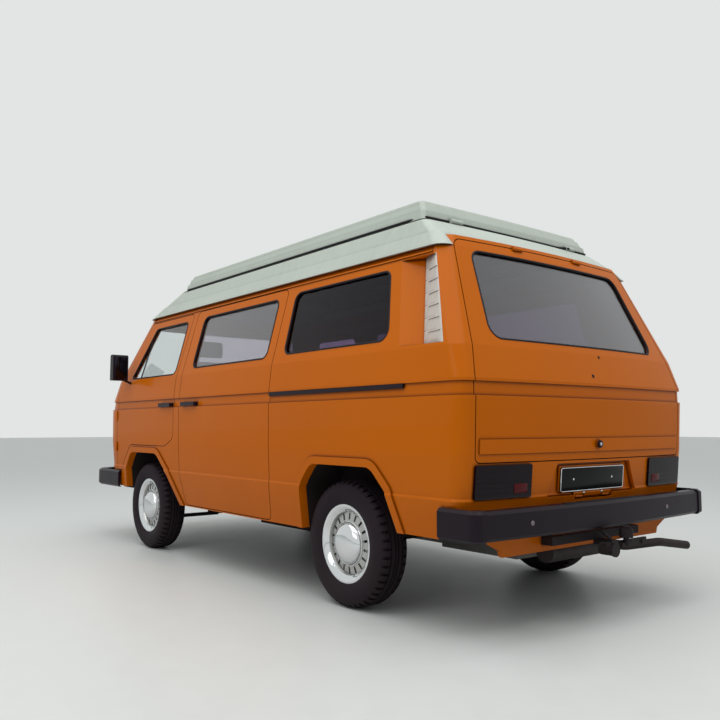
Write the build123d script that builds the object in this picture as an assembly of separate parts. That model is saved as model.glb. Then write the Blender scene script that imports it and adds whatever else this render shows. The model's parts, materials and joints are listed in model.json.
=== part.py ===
from build123d import *
import math
import os

# Camper van with a lifting roof, in millimetres, +Z up.
# The van faces -Y and +X is its left side, the side with the sliding door.
# Inside this script Y is 0 at the front axle and grows to the rear. The pieces are
# moved at the end, so that the written origin is at the middle of the van's length
# and width, on the ground.

# Driving sizes: wheels and stance
WHEELBASE = 2461
TYRE_RADIUS = 322
TYRE_WIDTH = 185
TYRE_TREAD = 124
RIM_RADIUS = 198
RIM_SEAT = 184
RIM_WIDTH = 144
RIM_DISC_SETBACK = 26
RIM_SLOTS = 18
TRACK_FRONT = 1585
TRACK_REAR = 1570
KINGPIN_X = 720
SPINDLE_RADIUS = 22

# Driving sizes: clearances
RUN_GAP = 5
PIN_GAP = 0.3
SEAT_GAP = 0.3

# Driving sizes: panels
WALL = 40
REBATE = 14
SEAL = 5
GLASS_INSET = 12
GLASS = 5
GROOVE_DEPTH = 10
GROOVE_LOW = 1058
GROOVE_HIGH = 1122
GUTTER_LIP = 6
GUTTER_LIP_LOW = 1757
GUTTER_LOW = 1764
GUTTER_TOP = 1789
GUTTER_DEPTH = 12
GUTTER_END_Y = 3040
BODY_TOP = 1850
PILLAR_DEPTH = 90

# Driving sizes: ends of the van
FRONT_BUMPER_Y = -1100
REAR_BUMPER_Y = 3475
BUMPER_LOW = 440
BUMPER_HIGH = 567
BUMPER_HALF = 935
BUMPER_THICK = 55
BUMPER_EDGE = 14
BUMPER_CAP_PROUD = 5
FRONT_CAP_X = 825
REAR_CAP_X = 872
TOW_BALL_Y = 3535
TOW_CAP_RADIUS = 32

# Driving sizes: floor and chassis
FLOOR_LOW = 430
FLOOR = 25
DECK_LOW = 790
RISER_Y = 2120
SILL_LOW = 372
SILL_FRONT = 445
SILL_REAR = 430
RAIL_X = 330
RAIL_WIDE = 60
RAIL_TALL = 80

REAR_AXLE = WHEELBASE
FRONT_WHEEL_X = TRACK_FRONT / 2
REAR_WHEEL_X = TRACK_REAR / 2
TOW_REAR_Y = TOW_BALL_Y + TOW_CAP_RADIUS
ORIGIN_Y = (FRONT_BUMPER_Y + TOW_REAR_Y) / 2

# Body form: one plan outline for each height
# z, half width, front tip y, rear tip y, front bow, rear bow, front corner, rear corner
BODY = [
    (360, 893, -805, 3300, 60, 45, 340, 75),
    (600, 916, -925, 3372, 60, 45, 350, 75),
    (612, 911, -928, 3368, 60, 45, 350, 75),
    (800, 920, -955, 3385, 60, 45, 350, 75),
    (1050, 922, -960, 3397, 60, 45, 350, 75),
    (1135, 920, -935, 3396, 60, 45, 350, 75),
    (1285, 902, -855, 3350, 65, 45, 345, 80),
    (1790, 769, -427, 3133, 60, 42, 255, 85),
    (BODY_TOP, 712, -275, 3106, 50, 40, 200, 60),
]

# Lower roof, moulded shell: same columns
ROOF = [
    (1790, 785, -442, 3137, 60, 42, 255, 60),
    (1866, 748, -282, 3066, 55, 32, 233, 60),
    (1870, 740, -274, 3058, 55, 32, 232, 58),
    (1958, 705, -50, 2935, 45, 25, 220, 40),
    (2004, 676, 92, 2860, 40, 25, 200, 36),
]
ROOF_CORNER_X = 705
ROOF_DECK = 1958
ROOF_WALL = 22
HUMP_END_Y = 168

# Lifting lid of the roof: same columns
LID = [
    (1968, 692, 176, 2900, 12, 12, 34, 28),
    (2014, 685, 184, 2890, 12, 12, 34, 28),
    (2018, 676, 193, 2881, 12, 12, 32, 26),
    (2056, 665, 204, 2861, 12, 12, 32, 26),
    (2060, 656, 213, 2852, 12, 12, 30, 24),
    (2080, 650, 219, 2840, 12, 12, 30, 24),
    (2092, 615, 258, 2802, 12, 12, 30, 24),
]
LID_WALL = 24
ROOF_HOLE = (-540, 540, 420, 2640)

# Side outlines as y, z, corner radius
DOOR_FOOT = BUMPER_HIGH + RUN_GAP + 3
DOOR_FOOT_Y = -425
DOOR_FOOT_TOP = 660
DOOR_FOOT_RELIEF = 9
FRONT_DOOR = [
    (-548, DOOR_FOOT, 20), (-548, 1272, 12), (-182, 1742, 70), (550, 1742, 35), (512, 1272, 0),
    (512, 838, 60), (372, 781, 60), (-275, 781, 100), (DOOR_FOOT_Y, 625, 40),
    (DOOR_FOOT_Y, DOOR_FOOT, 10),
]
FRONT_WINDOW = [(-318, 1300, 18), (-76, 1690, 45), (482, 1690, 45), (482, 1300, 45)]
SLIDING_DOOR = [
    (704, 384, 28), (612, 612, 130), (606, 1272, 0), (622, 1748, 40), (1802, 1748, 40),
    (1802, 384, 28),
]
MIDDLE_WINDOW = [(740, 1329, 50), (740, 1694, 50), (1722, 1694, 50), (1722, 1329, 50)]
REAR_SIDE_WINDOW = [(1912, 1338, 50), (1897, 1708, 50), (2748, 1708, 55), (2838, 1338, 55)]
# The arches count y from their own axle
FRONT_ARCH = [
    (-336, 250, 0), (-336, 610, 110), (-240, 722, 90), (228, 722, 120), (425, 570, 60),
    (640, 352, 0), (640, 250, 0),
]
REAR_ARCH = [
    (-322, 250, 0), (-334, 610, 110), (-226, 724, 90), (275, 724, 90), (385, 612, 60),
    (465, 420, 0), (520, 250, 0),
]
ARCH_LIP = 40
ARCH_OUT = 10
ARCH_RETURN = 30

# Rear and front outlines as x, z, corner radius
TAILGATE = [
    (-833, 765, 28), (-838, 1140, 0), (-685, 1826, 60), (685, 1826, 60), (838, 1140, 0),
    (833, 765, 28),
]
TAILGATE_WINDOW = [(-676, 1322, 60), (-599, 1774, 70), (599, 1774, 70), (676, 1322, 60)]
WINDSCREEN = [(-838, 1296, 60), (-700, 1732, 80), (700, 1732, 80), (838, 1296, 60)]
TAIL_LAMP = [(490, 605, 10), (490, 753, 10), (838, 753, 10), (838, 605, 10)]
PLATE_RECESS = [(-375, 592, 12), (-300, 748, 12), (300, 748, 12), (375, 592, 12)]
PLATE_FLAP = [
    (-155, 584, 6), (-155, 614, 4), (-270, 614, 6), (-270, 735, 6), (270, 735, 6),
    (270, 614, 6), (155, 614, 4), (155, 584, 6),
]
PLATE_FOOT = [(-161, 572, 6), (-161, 620, 0), (161, 620, 0), (161, 572, 6)]
PLATE_RECESS_DEPTH = 24
FLAP_THICK = 5
GRILLE = [(-800, 902, 20), (-800, 1050, 20), (800, 1050, 20), (800, 902, 20)]
INTAKE = [(-430, 1162, 12), (-430, 1222, 12), (430, 1222, 12), (430, 1162, 12)]
INDICATOR = [(510, 800, 8), (510, 862, 8), (680, 862, 8), (680, 800, 8)]
HEADLAMP_X = 600
HEADLAMP_Z = 977
HEADLAMP_RADIUS = 90
FUEL_FLAP = [(556, 640, 20), (556, 775, 20), (691, 775, 20), (691, 640, 20)]
FUEL_FLAP_THICK = 7

# Air intake in the rear side pillar: z, y at its front, at its deepest, at its rear
PILLAR_VENT = [(1298, 2930, 3036, 3212), (1746, 2822, 2935, 3062)]
VENT_DEPTH = 56
VENT_SLATS = 7
VENT_SLAT = 7
VENT_FACE = 12
VENT_POCKET = 9


def rounded(points):
    """Points of an outline, each corner with its radius, as a list of edge data."""
    spans = []
    count = len(points)
    for index in range(count):
        before = points[index - 1]
        here = points[index]
        after = points[(index + 1) % count]
        if here[2] == 0:
            spans.append((here[:2], None, here[:2]))
            continue
        back = (before[0] - here[0], before[1] - here[1])
        ahead = (after[0] - here[0], after[1] - here[1])
        back_len = math.hypot(*back)
        ahead_len = math.hypot(*ahead)
        back = (back[0] / back_len, back[1] / back_len)
        ahead = (ahead[0] / ahead_len, ahead[1] / ahead_len)
        half = math.acos(back[0] * ahead[0] + back[1] * ahead[1]) / 2
        run = here[2] / math.tan(half)
        middle = (back[0] + ahead[0], back[1] + ahead[1])
        middle_len = math.hypot(*middle)
        depth = here[2] / math.sin(half) - here[2]
        start = (here[0] + back[0] * run, here[1] + back[1] * run)
        end = (here[0] + ahead[0] * run, here[1] + ahead[1] * run)
        top = (
            here[0] + middle[0] / middle_len * depth,
            here[1] + middle[1] / middle_len * depth,
        )
        spans.append((start, top, end))
    return spans


def prism(points, place, push):
    """A solid with an outline placed in space by place(a, b) and pushed along a vector."""
    spans = rounded(points)
    edges = []
    for index, (start, top, end) in enumerate(spans):
        if top is not None:
            edges.append(ThreePointArc(place(*start), place(*top), place(*end)))
        following = spans[(index + 1) % len(spans)][0]
        edges.append(Line(place(*end), place(*following)))
    face = Face(Wire(edges))
    if face.normal_at().dot(Vector(*push)) < 0:
        face = -face
    return Solid.extrude(face, Vector(*push))


def side_prism(points, side=1, inner=600, outer=1010, shift=0):
    """An outline in y and z pushed through one side wall."""
    return prism(
        points,
        lambda a, b: (side * inner, a + shift, b),
        (side * (outer - inner), 0, 0),
    )


def end_prism(points, low, high):
    """An outline in x and z pushed along y."""
    return prism(points, lambda a, b: (a, low, b), (0, high - low, 0))


def grow(points, amount):
    """The same outline moved outwards by an amount, corner radii kept concentric."""
    count = len(points)
    area = sum(
        points[i][0] * points[(i + 1) % count][1] - points[(i + 1) % count][0] * points[i][1]
        for i in range(count)
    )
    turn = 1 if area > 0 else -1
    grown = []
    for index in range(count):
        before = points[index - 1]
        here = points[index]
        after = points[(index + 1) % count]
        first = Vector(here[0] - before[0], here[1] - before[1]).normalized()
        second = Vector(after[0] - here[0], after[1] - here[1]).normalized()
        normal_a = Vector(first.Y * turn, -first.X * turn)
        normal_b = Vector(second.Y * turn, -second.X * turn)
        scale = amount / (1 + normal_a.dot(normal_b))
        move = (normal_a + normal_b) * scale
        convex = (first.X * second.Y - first.Y * second.X) * turn > 0
        radius = here[2]
        if radius > 0:
            radius = max(radius + (amount if convex else -amount), 0.5)
        grown.append((here[0] + move.X, here[1] + move.Y, radius))
    return grown


def block(x0, x1, y0, y1, z0, z1):
    """A box between two corners."""
    box = Box(abs(x1 - x0), abs(y1 - y0), abs(z1 - z0))
    return Pos((x0 + x1) / 2, (y0 + y1) / 2, (z0 + z1) / 2) * box


def rod(start, end, radius):
    """A round bar between two points."""
    start = Vector(*start)
    end = Vector(*end)
    along = end - start
    return Solid.make_cylinder(radius, along.length, Plane(origin=start, z_dir=along))


def plan_edges(z, half, front, rear, bow_front, bow_rear, r_front, r_rear):
    """Closed plan outline: bowed front and rear, straight sides, four round corners."""

    def corner(bow, radius):
        bow_radius = (half * half + bow * bow) / (2 * bow)
        inner = bow_radius - radius
        across = half - radius
        along = math.sqrt(inner * inner - across * across)
        stretch = bow_radius / inner
        middle = Vector(across / inner + 1, along / inner).normalized()
        touch = (across * stretch, bow_radius - along * stretch)
        centre = (across, bow_radius - along)
        mid = (across + middle.X * radius, centre[1] - middle.Y * radius)
        return touch, mid, centre

    touch_f, mid_f, centre_f = corner(bow_front, r_front)
    touch_r, mid_r, centre_r = corner(bow_rear, r_rear)
    fy = front + touch_f[1]
    ry = rear - touch_r[1]
    edges = [
        ThreePointArc((-touch_f[0], fy, z), (0, front, z), (touch_f[0], fy, z)),
        ThreePointArc(
            (touch_f[0], fy, z), (mid_f[0], front + mid_f[1], z), (half, front + centre_f[1], z)
        ),
        Line((half, front + centre_f[1], z), (half, rear - centre_r[1], z)),
        ThreePointArc(
            (half, rear - centre_r[1], z), (mid_r[0], rear - mid_r[1], z), (touch_r[0], ry, z)
        ),
        ThreePointArc((touch_r[0], ry, z), (0, rear, z), (-touch_r[0], ry, z)),
        ThreePointArc(
            (-touch_r[0], ry, z), (-mid_r[0], rear - mid_r[1], z), (-half, rear - centre_r[1], z)
        ),
        Line((-half, rear - centre_r[1], z), (-half, front + centre_f[1], z)),
        ThreePointArc(
            (-half, front + centre_f[1], z), (-mid_f[0], front + mid_f[1], z), (-touch_f[0], fy, z)
        ),
    ]
    return edges


def stacked(table, inset=0, below=0, above=0, drop=0):
    """Solid through the plan outlines of a table, moved in by an inset all round."""
    rows = []
    for z, half, front, rear, bow_f, bow_r, r_f, r_r in table:
        rows.append((
            z - drop, half - inset, front + inset, rear - inset, bow_f, bow_r,
            max(r_f - inset, 8), max(r_r - inset, 8),
        ))
    if below:
        rows.insert(0, (rows[0][0] - below,) + rows[0][1:])
    if above:
        rows.append((rows[-1][0] + above,) + rows[-1][1:])
    rings = [plan_edges(*row) for row in rows]
    faces = [Face(Wire(rings[0])), Face(Wire(rings[-1]))]
    for low, high in zip(rings, rings[1:]):
        for edge_low, edge_high in zip(low, high):
            if edge_low.geom_type == GeomType.LINE:
                corners = [edge_low @ 0, edge_low @ 1, edge_high @ 1, edge_high @ 0]
                faces.append(Face(Wire.make_polygon(corners)))
            else:
                faces.append(Face.make_surface_from_curves(edge_low, edge_high))
    solid = Solid(Shell(faces))
    return solid if solid.volume > 0 else Solid(-solid.shell())


FORMS = {}


def body_form(inset):
    """The body's outer form, or one moved in or out, which is open above and below."""
    if inset not in FORMS:
        reach = 80 if inset else 0
        FORMS[inset] = stacked(BODY, inset, below=reach, above=reach)
    return FORMS[inset]


def skin(outer, inner):
    """The layer between two insets of the body form."""
    return body_form(outer) - body_form(inner)


def at_height(table, z, column):
    """A column of a table at one height."""
    for low, high in zip(table, table[1:]):
        if z <= high[0]:
            share = (z - low[0]) / (high[0] - low[0])
            return low[column] + share * (high[column] - low[column])
    return table[-1][column]


def rear_y(z, x=0):
    """Y of the body's rear face at a height and a distance from the middle."""
    bow = at_height(BODY, z, 5) * (x / at_height(BODY, z, 1)) ** 2
    return at_height(BODY, z, 3) - bow


def front_y(z, x=0):
    """Y of the body's front face at a height and a distance from the middle."""
    bow = at_height(BODY, z, 4) * (x / at_height(BODY, z, 1)) ** 2
    return at_height(BODY, z, 2) + bow


def hinge(origin, along, length, radius, pin):
    """Barrel hinge: fixed half and its pin, moving half, room for each, and the bore."""
    along = Vector(*along)
    start = Vector(*origin) - along * (length / 2)
    middle = Vector(*origin)
    end = middle + along * (length / 2)
    small = along * (PIN_GAP / 2)
    fixed = rod(start, middle - small, radius) + rod(start, end, pin)
    moving = rod(middle + small, end, radius)
    fixed_room = rod(middle - small, end + along * 2, radius + 2)
    moving_room = rod(start - along * 2, middle + small, radius + 2)
    bore = rod(middle, end + along * radius, pin + PIN_GAP)
    return fixed, moving, fixed_room, moving_room, bore


nodes = {}
body = body_form(0)
core = body_form(WALL)
shell = body - core
under_body = side_prism(
    [
        (-1400, 200, 0), (-1400, SILL_FRONT, 0), (0, SILL_FRONT, 0), (0, SILL_LOW, 0),
        (REAR_AXLE, SILL_LOW, 0), (REAR_AXLE, SILL_REAR, 0), (3700, SILL_REAR, 0),
        (3700, 200, 0),
    ],
    inner=-1010,
)
groove = block(-1000, 1000, -1200, 3600, GROOVE_LOW, GROOVE_HIGH) - body_form(GROOVE_DEPTH)
shell = shell - under_body - groove
left_half = block(0, 1010, -1300, 3700, 200, 1950)
left_shell = shell & left_half
left_outer = skin(0, REBATE) & left_half
left_inner = skin(REBATE, WALL) & left_half
left_pane = skin(GLASS_INSET, GLASS_INSET + GLASS) & left_half
left_rebate = body_form(REBATE + SEAL) & left_half

# Hinge places
DOOR_HINGE_X = 922.5
DOOR_HINGE_Y = FRONT_DOOR[0][0] - RUN_GAP / 2
DOOR_HINGE_Z = [760, 1010]
TAILGATE_HINGE_X = [-250, 250]
TAILGATE_HINGE_Z = TAILGATE[2][1] + RUN_GAP / 2
TAILGATE_HINGE_Y = rear_y(TAILGATE_HINGE_Z)
LID_HINGE_X = [-480, 480]
LID_HINGE_Y = LID[0][3] + 4
LID_HINGE_Z = LID[0][0] + 6
HINGE_RADIUS = 10
HINGE_PIN = 4
HINGE_LENGTH = 70

# Wheel arches: opening, its axle, and where the tub's inner wall stands
ARCHES = [(FRONT_ARCH, 0, 545), (REAR_ARCH, REAR_AXLE, 645)]


def arch_lips():
    """Raised lips round both wheel openings of the left side."""
    lips = []
    band = (body_form(-ARCH_OUT) - body_form(ARCH_RETURN)) & left_half
    for outline, axle, _ in ARCHES:
        ring = side_prism(grow(outline, ARCH_LIP), shift=axle)
        ring = ring - side_prism(outline, inner=550, shift=axle)
        lips.append((ring & band) - under_body)
    return lips[0] + lips[1]


# Lines where the body's panels meet
windscreen_zone = side_prism(
    [
        (-1300, 1262, 0), (-553, 1262, 0), (-187, 1745, 0), (-187, 1950, 0), (-1300, 1950, 0),
    ],
    inner=-1010,
)
nose_zone = block(-1010, 1010, -1300, DOOR_HINGE_Y - RUN_GAP / 2, 200, 1262)
rear_zone = block(-845, 845, 3150, 3600, 200, TAILGATE[0][1] - RUN_GAP)
header_zone = block(-690, 690, 2980, 3400, 1820, 1950)


def door_parts(outline, windows):
    """A left door with a rebated edge, its glass, and what the body loses for it."""
    leaf = (left_outer & side_prism(outline)) + (left_inner & side_prism(grow(outline, -REBATE)))
    leaf = leaf - groove
    glass = None
    for window in windows:
        hole = side_prism(window)
        leaf = leaf - hole
        glass = left_pane & hole
    wide = side_prism(grow(outline, RUN_GAP)) - left_rebate
    narrow = side_prism(grow(outline, RUN_GAP - REBATE))
    return leaf, glass, wide + narrow


def vent_wedge(rear_shift=0.0):
    """The pillar's air intake: a ramp that goes in, and a face that comes out again."""
    rows = []
    lift = 40
    for z, front, deep, rear in PILLAR_VENT:
        half = at_height(BODY, z, 1)
        out = lift / VENT_DEPTH
        corner_a = (half + lift, front - (deep - front) * out, z)
        corner_b = (half - VENT_DEPTH, deep + rear_shift, z)
        corner_c = (half + lift, rear + (rear - deep) * out + rear_shift, z)
        rows.append(Wire.make_polygon([corner_a, corner_b, corner_c]))
    return Solid.make_loft(rows, ruled=True)


def vent_grille(wedge, backed):
    """Slatted face on the rear side of the intake."""
    vent = (backed - wedge) & body
    pocket = vent_wedge(VENT_POCKET)
    low, high = PILLAR_VENT[0], PILLAR_VENT[1]
    pitch = (high[0] - low[0]) / VENT_SLATS
    for index in range(VENT_SLATS):
        z = low[0] + pitch * (index + 0.5)
        half = at_height(BODY, z, 1)
        share = (index + 0.5) / VENT_SLATS
        deep = low[2] + share * (high[2] - low[2])
        rear = low[3] + share * (high[3] - low[3])
        opening = block(
            half - VENT_DEPTH + 8, half - 8, deep - 20, rear + 40,
            z - (pitch - VENT_SLAT) / 2, z + (pitch - VENT_SLAT) / 2,
        )
        vent = vent - (opening & pocket)
    return vent


wedge = vent_wedge()
backed = vent_wedge(VENT_FACE)
vent_left = vent_grille(wedge, backed)

# Left side with its pillar, arches and rain gutter, before the openings that differ
thick = (core - body_form(PILLAR_DEPTH)) & block(0, 1010, 2790, 3130, 1270, 1790)
lip_room = block(500, 1010, -225, GUTTER_END_Y, GUTTER_LIP_LOW, GUTTER_LOW)
lip = ((body_form(-GUTTER_LIP) - core) & lip_room) - windscreen_zone
gutter = skin(-1, GUTTER_DEPTH) & block(500, 1010, -225, GUTTER_END_Y, GUTTER_LOW, GUTTER_TOP)
panel = left_shell
for outline, axle, _ in ARCHES:
    panel = panel - side_prism(outline, shift=axle)
panel = panel - windscreen_zone - nose_zone - rear_zone - header_zone
panel = (panel - gutter) + arch_lips() + lip + thick
door, door_glass, door_room = door_parts(FRONT_DOOR, [FRONT_WINDOW])
relief_y = DOOR_FOOT_Y - REBATE - DOOR_FOOT_RELIEF
foot = block(500, 1010, relief_y, DOOR_FOOT_Y, DOOR_FOOT - 5, DOOR_FOOT_TOP)
door = door - (foot & body_form(REBATE))
tail_outer = end_prism(TAILGATE, 2900, 3500)
tail_inner = end_prism(grow(TAILGATE, -REBATE), 2900, 3500)
tail_room = end_prism(grow(TAILGATE, RUN_GAP), 2900, 3500) - body_form(REBATE + SEAL)
tail_room = tail_room + end_prism(grow(TAILGATE, RUN_GAP - REBATE), 2900, 3500)
rear_hole = side_prism(REAR_SIDE_WINDOW)
panel = panel - door_room - tail_room - rear_hole - wedge - backed
rear_pane = left_pane & rear_hole
nose = (shell & nose_zone) - door_room - door_room.mirror(Plane.YZ)
for z in DOOR_HINGE_Z:
    fixed, moving, fixed_room, moving_room, bore = hinge(
        (DOOR_HINGE_X, DOOR_HINGE_Y, z), (0, 0, 1), HINGE_LENGTH, HINGE_RADIUS, HINGE_PIN
    )
    door = ((door - moving_room) + moving) - bore
    panel = panel - fixed_room - moving_room
    nose = (nose - fixed_room) + fixed
    nose = (nose - fixed_room.mirror(Plane.YZ)) + fixed.mirror(Plane.YZ)
right_panel = panel.mirror(Plane.YZ)
nodes["door_left"] = door
nodes["door_right"] = door.mirror(Plane.YZ)
nodes["door_glass_left"] = door_glass
nodes["door_glass_right"] = door_glass.mirror(Plane.YZ)
nodes["pillar_vents"] = [vent_left, vent_left.mirror(Plane.YZ)]

# Left side: sliding door. Right side: fixed window and fuel flap
slider, slider_glass, slider_room = door_parts(SLIDING_DOOR, [MIDDLE_WINDOW])
nodes["side_left"] = panel - slider_room
nodes["sliding_door"] = slider
middle_hole = side_prism(MIDDLE_WINDOW).mirror(Plane.YZ)
nodes["side_glass"] = [
    slider_glass, slider_glass.mirror(Plane.YZ), rear_pane, rear_pane.mirror(Plane.YZ),
]
FUEL_HINGE_Y = FUEL_FLAP[0][0] - RUN_GAP / 2
FUEL_HINGE_X = -919.5
FUEL_HINGE_Z = (FUEL_FLAP[0][1] + FUEL_FLAP[1][1]) / 2
FUEL_POCKET = 18
fuel_hole = side_prism(FUEL_FLAP).mirror(Plane.YZ)
fuel_flap = skin(0, FUEL_FLAP_THICK) & fuel_hole
fixed, moving, fixed_room, moving_room, bore = hinge(
    (FUEL_HINGE_X, FUEL_HINGE_Y, FUEL_HINGE_Z), (0, 0, 1), 80, 6, 2.5
)
fuel_pocket = side_prism(grow(FUEL_FLAP, RUN_GAP)).mirror(Plane.YZ)
fuel_pocket = fuel_pocket - body_form(FUEL_FLAP_THICK + FUEL_POCKET)
nodes["side_right"] = ((right_panel - middle_hole) - fuel_pocket - fixed_room) + fixed
nodes["fuel_flap"] = ((fuel_flap - moving_room) + moving) - bore

# Nose panel with its grille, lamps and air intake
grille_hole = end_prism(GRILLE, -1200, -600)
intake_hole = end_prism(INTAKE, -1200, -700)
nose_front = block(-900, 900, -1200, -500, 700, 1262)
outer_26 = skin(0, 26) & nose_front
nose = nose - (grille_hole & outer_26) - (intake_hole & skin(0, 20))
indicators = []
for side in (-1, 1):
    bulk = end_prism([(side * x, z, r) for x, z, r in INDICATOR], -1200, -700)
    indicators.append(bulk & skin(-6, 24))
    nose = nose - (bulk & outer_26)
GRILLE_BARS = 6
bars = grille_hole & skin(18, 26)
layer = skin(3, 18) & nose_front
bar_pitch = (GRILLE[1][1] - GRILLE[0][1]) / GRILLE_BARS
for index in range(GRILLE_BARS):
    z = GRILLE[0][1] + bar_pitch * (index + 0.5)
    bars = bars + (layer & block(-794, 794, -1200, -600, z - 5, z + 5))
frame = grille_hole - end_prism(grow(GRILLE, -10), -1200, -600)
bars = bars + (frame & layer)
lamps = []
for side in (-1, 1):
    face_y = front_y(HEADLAMP_Z, HEADLAMP_X) - 4
    x = side * HEADLAMP_X
    rim = rod((x, face_y, HEADLAMP_Z), (x, face_y + 110, HEADLAMP_Z), HEADLAMP_RADIUS)
    bars = bars - rim
    dome = Solid.make_sphere(220, Plane((x, face_y - 14 + 220, HEADLAMP_Z)))
    cover = rod((x, face_y - 30, HEADLAMP_Z), (x, face_y, HEADLAMP_Z), HEADLAMP_RADIUS - 7)
    nose = nose - rim
    lamps.append(rim + (cover & dome))
nodes["front_lamps"] = lamps + indicators
louvre = intake_hole & skin(14, 20)
for index in range(5):
    z = INTAKE[0][1] + 12 + index * 9
    louvre = louvre + (skin(2, 14) & block(-428, 428, -1200, -700, z - 2, z + 2))
nodes["front_grilles"] = [bars, louvre]
nodes["nose_panel"] = nose

# Windscreen and its frame
frame = (shell & windscreen_zone) - door_room - door_room.mirror(Plane.YZ)
glass_hole = end_prism(WINDSCREEN, -1100, 0)
nodes["windscreen_frame"] = frame - glass_hole
nodes["windscreen"] = skin(GLASS_INSET, GLASS_INSET + 6) & glass_hole & windscreen_zone

# Rear header, rear panel, tail lamps and the number plate's flap
header = (shell & header_zone) - tail_room
rear = (shell & rear_zone) - tail_room
lamps = []
lamp_layer = skin(-12, WALL) & block(-900, 900, 3200, 3600, 550, 800)
for side in (-1, 1):
    hole = end_prism([(side * x, z, r) for x, z, r in TAIL_LAMP], 3100, 3550)
    rear = rear - hole
    lamps.append(hole & lamp_layer)
nodes["tail_lamps"] = lamps
pocket = end_prism(PLATE_RECESS, 3200, 3550) + end_prism(PLATE_FOOT, 3200, 3550)
rear = rear - (pocket - body_form(PLATE_RECESS_DEPTH))
flap_out = PLATE_RECESS_DEPTH - RUN_GAP - FLAP_THICK
flap = end_prism(PLATE_FLAP, 3200, 3550) & skin(flap_out, flap_out + FLAP_THICK)
FLAP_HINGE_Z = PLATE_FLAP[0][1]
FLAP_HINGE_X = [-110, 110]
FLAP_HINGE_RADIUS = 7
FLAP_HINGE_Y = rear_y(FLAP_HINGE_Z, FLAP_HINGE_X[0]) - PLATE_RECESS_DEPTH + FLAP_HINGE_RADIUS - 0.5
for x in FLAP_HINGE_X:
    fixed, moving, fixed_room, moving_room, bore = hinge(
        (x, FLAP_HINGE_Y, FLAP_HINGE_Z), (1, 0, 0), 56, FLAP_HINGE_RADIUS, 2.5
    )
    rear = (rear - fixed_room) + fixed
    flap = ((flap - moving_room) + moving) - bore
nodes["rear_panel"] = rear
nodes["plate_flap"] = flap

# Tailgate with its window, raised band and hinges
gate = ((skin(0, REBATE) & tail_outer) + (skin(REBATE, WALL) & tail_inner)) - groove
window = end_prism(TAILGATE_WINDOW, 2900, 3500)
gate = gate - window
gate = gate + (block(-815, 815, 3100, 3500, 802, 866) & skin(-6, 2))
for x in TAILGATE_HINGE_X:
    fixed, moving, fixed_room, moving_room, bore = hinge(
        (x, TAILGATE_HINGE_Y, TAILGATE_HINGE_Z), (1, 0, 0), HINGE_LENGTH, HINGE_RADIUS, HINGE_PIN
    )
    gate = ((gate - moving_room) + moving) - bore
    header = (header - fixed_room) + fixed
lock_y = rear_y(836)
gate = gate + rod((0, lock_y - 12, 836), (0, lock_y + 22, 836), 17)
nodes["tailgate"] = gate
nodes["rear_header"] = header
nodes["tailgate_glass"] = skin(GLASS_INSET, GLASS_INSET + GLASS) & window

# Lower roof with its hump, deck and opening
roof_outer = stacked(ROOF)
roof_inner = stacked(ROOF, ROOF_WALL, below=60, drop=ROOF_WALL)
roof = roof_outer - stacked(BODY, -SEAT_GAP) - roof_inner
roof = roof - block(-ROOF_CORNER_X, ROOF_CORNER_X, 3040, 3200, 1700, BODY_TOP + SEAT_GAP)
roof = roof - block(-900, 900, HUMP_END_Y, 3300, ROOF_DECK, 2100)
deck = block(-900, 900, HUMP_END_Y - ROOF_WALL, 3300, ROOF_DECK - ROOF_WALL, ROOF_DECK)
deck = deck + block(-900, 900, HUMP_END_Y - ROOF_WALL, HUMP_END_Y, ROOF_DECK - ROOF_WALL, 2010)
x0, x1, y0, y1 = ROOF_HOLE
roof = (roof + (roof_outer & deck)) - block(x0, x1, y0, y1, 1860, 2100)

# Lid of the lifting roof on its seal
lid = stacked(LID) - stacked(LID, LID_WALL, below=40, drop=LID_WALL)
SEAL_ROW = (684, 184, 2892, 12, 12, 27, 21)
SEAL_WIDE = 14
seal_rows = [(z,) + SEAL_ROW for z in (ROOF_DECK, LID[0][0] - SEAT_GAP)]
seal = stacked(seal_rows) - stacked(seal_rows, SEAL_WIDE, below=5, above=5)
for x in LID_HINGE_X:
    fixed, moving, fixed_room, moving_room, bore = hinge(
        (x, LID_HINGE_Y, LID_HINGE_Z), (1, 0, 0), 80, 17, 6
    )
    lid = ((lid - moving_room) + moving) - bore
    roof = (roof - fixed_room) + fixed
    seal = seal - rod((x - 46, LID_HINGE_Y, LID_HINGE_Z), (x + 46, LID_HINGE_Y, LID_HINGE_Z), 20)
nodes["roof_lower"] = roof
nodes["roof_lid"] = lid
nodes["roof_seal"] = seal

# Floor pan: slab, riser, rear deck, four wheel tubs and the front seat boxes
room = body_form(WALL + SEAT_GAP)
SEAT_TOP = FRONT_ARCH[2][1] + FLOOR
slab = block(-900, 900, -950, RISER_Y, FLOOR_LOW, FLOOR_LOW + FLOOR)
slab = slab + block(-900, 900, RISER_Y, RISER_Y + FLOOR, FLOOR_LOW, DECK_LOW + FLOOR)
slab = slab + block(-900, 900, RISER_Y, 3400, DECK_LOW, DECK_LOW + FLOOR)
below_floor = block(-1010, 1010, -1400, 3700, 200, FLOOR_LOW)
below_floor = below_floor + block(-1010, 1010, RISER_Y + FLOOR, 3700, 200, SILL_REAR + 1)
tubs = []
for side in (-1, 1):
    for outline, axle, inner in ARCHES:
        form = side_prism(grow(outline, FLOOR), side, inner=inner - FLOOR, shift=axle)
        if axle == 0:
            form = form + block(side * 270, side * 545, -300, 220, FLOOR_LOW, SEAT_TOP)
        form = form - below_floor
        slab = slab - form
        tubs.append((form - side_prism(outline, side, inner=inner, shift=axle)) & room)
nodes["wheel_tubs"] = tubs
nodes["floor_pan"] = (slab & room) - below_floor

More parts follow.
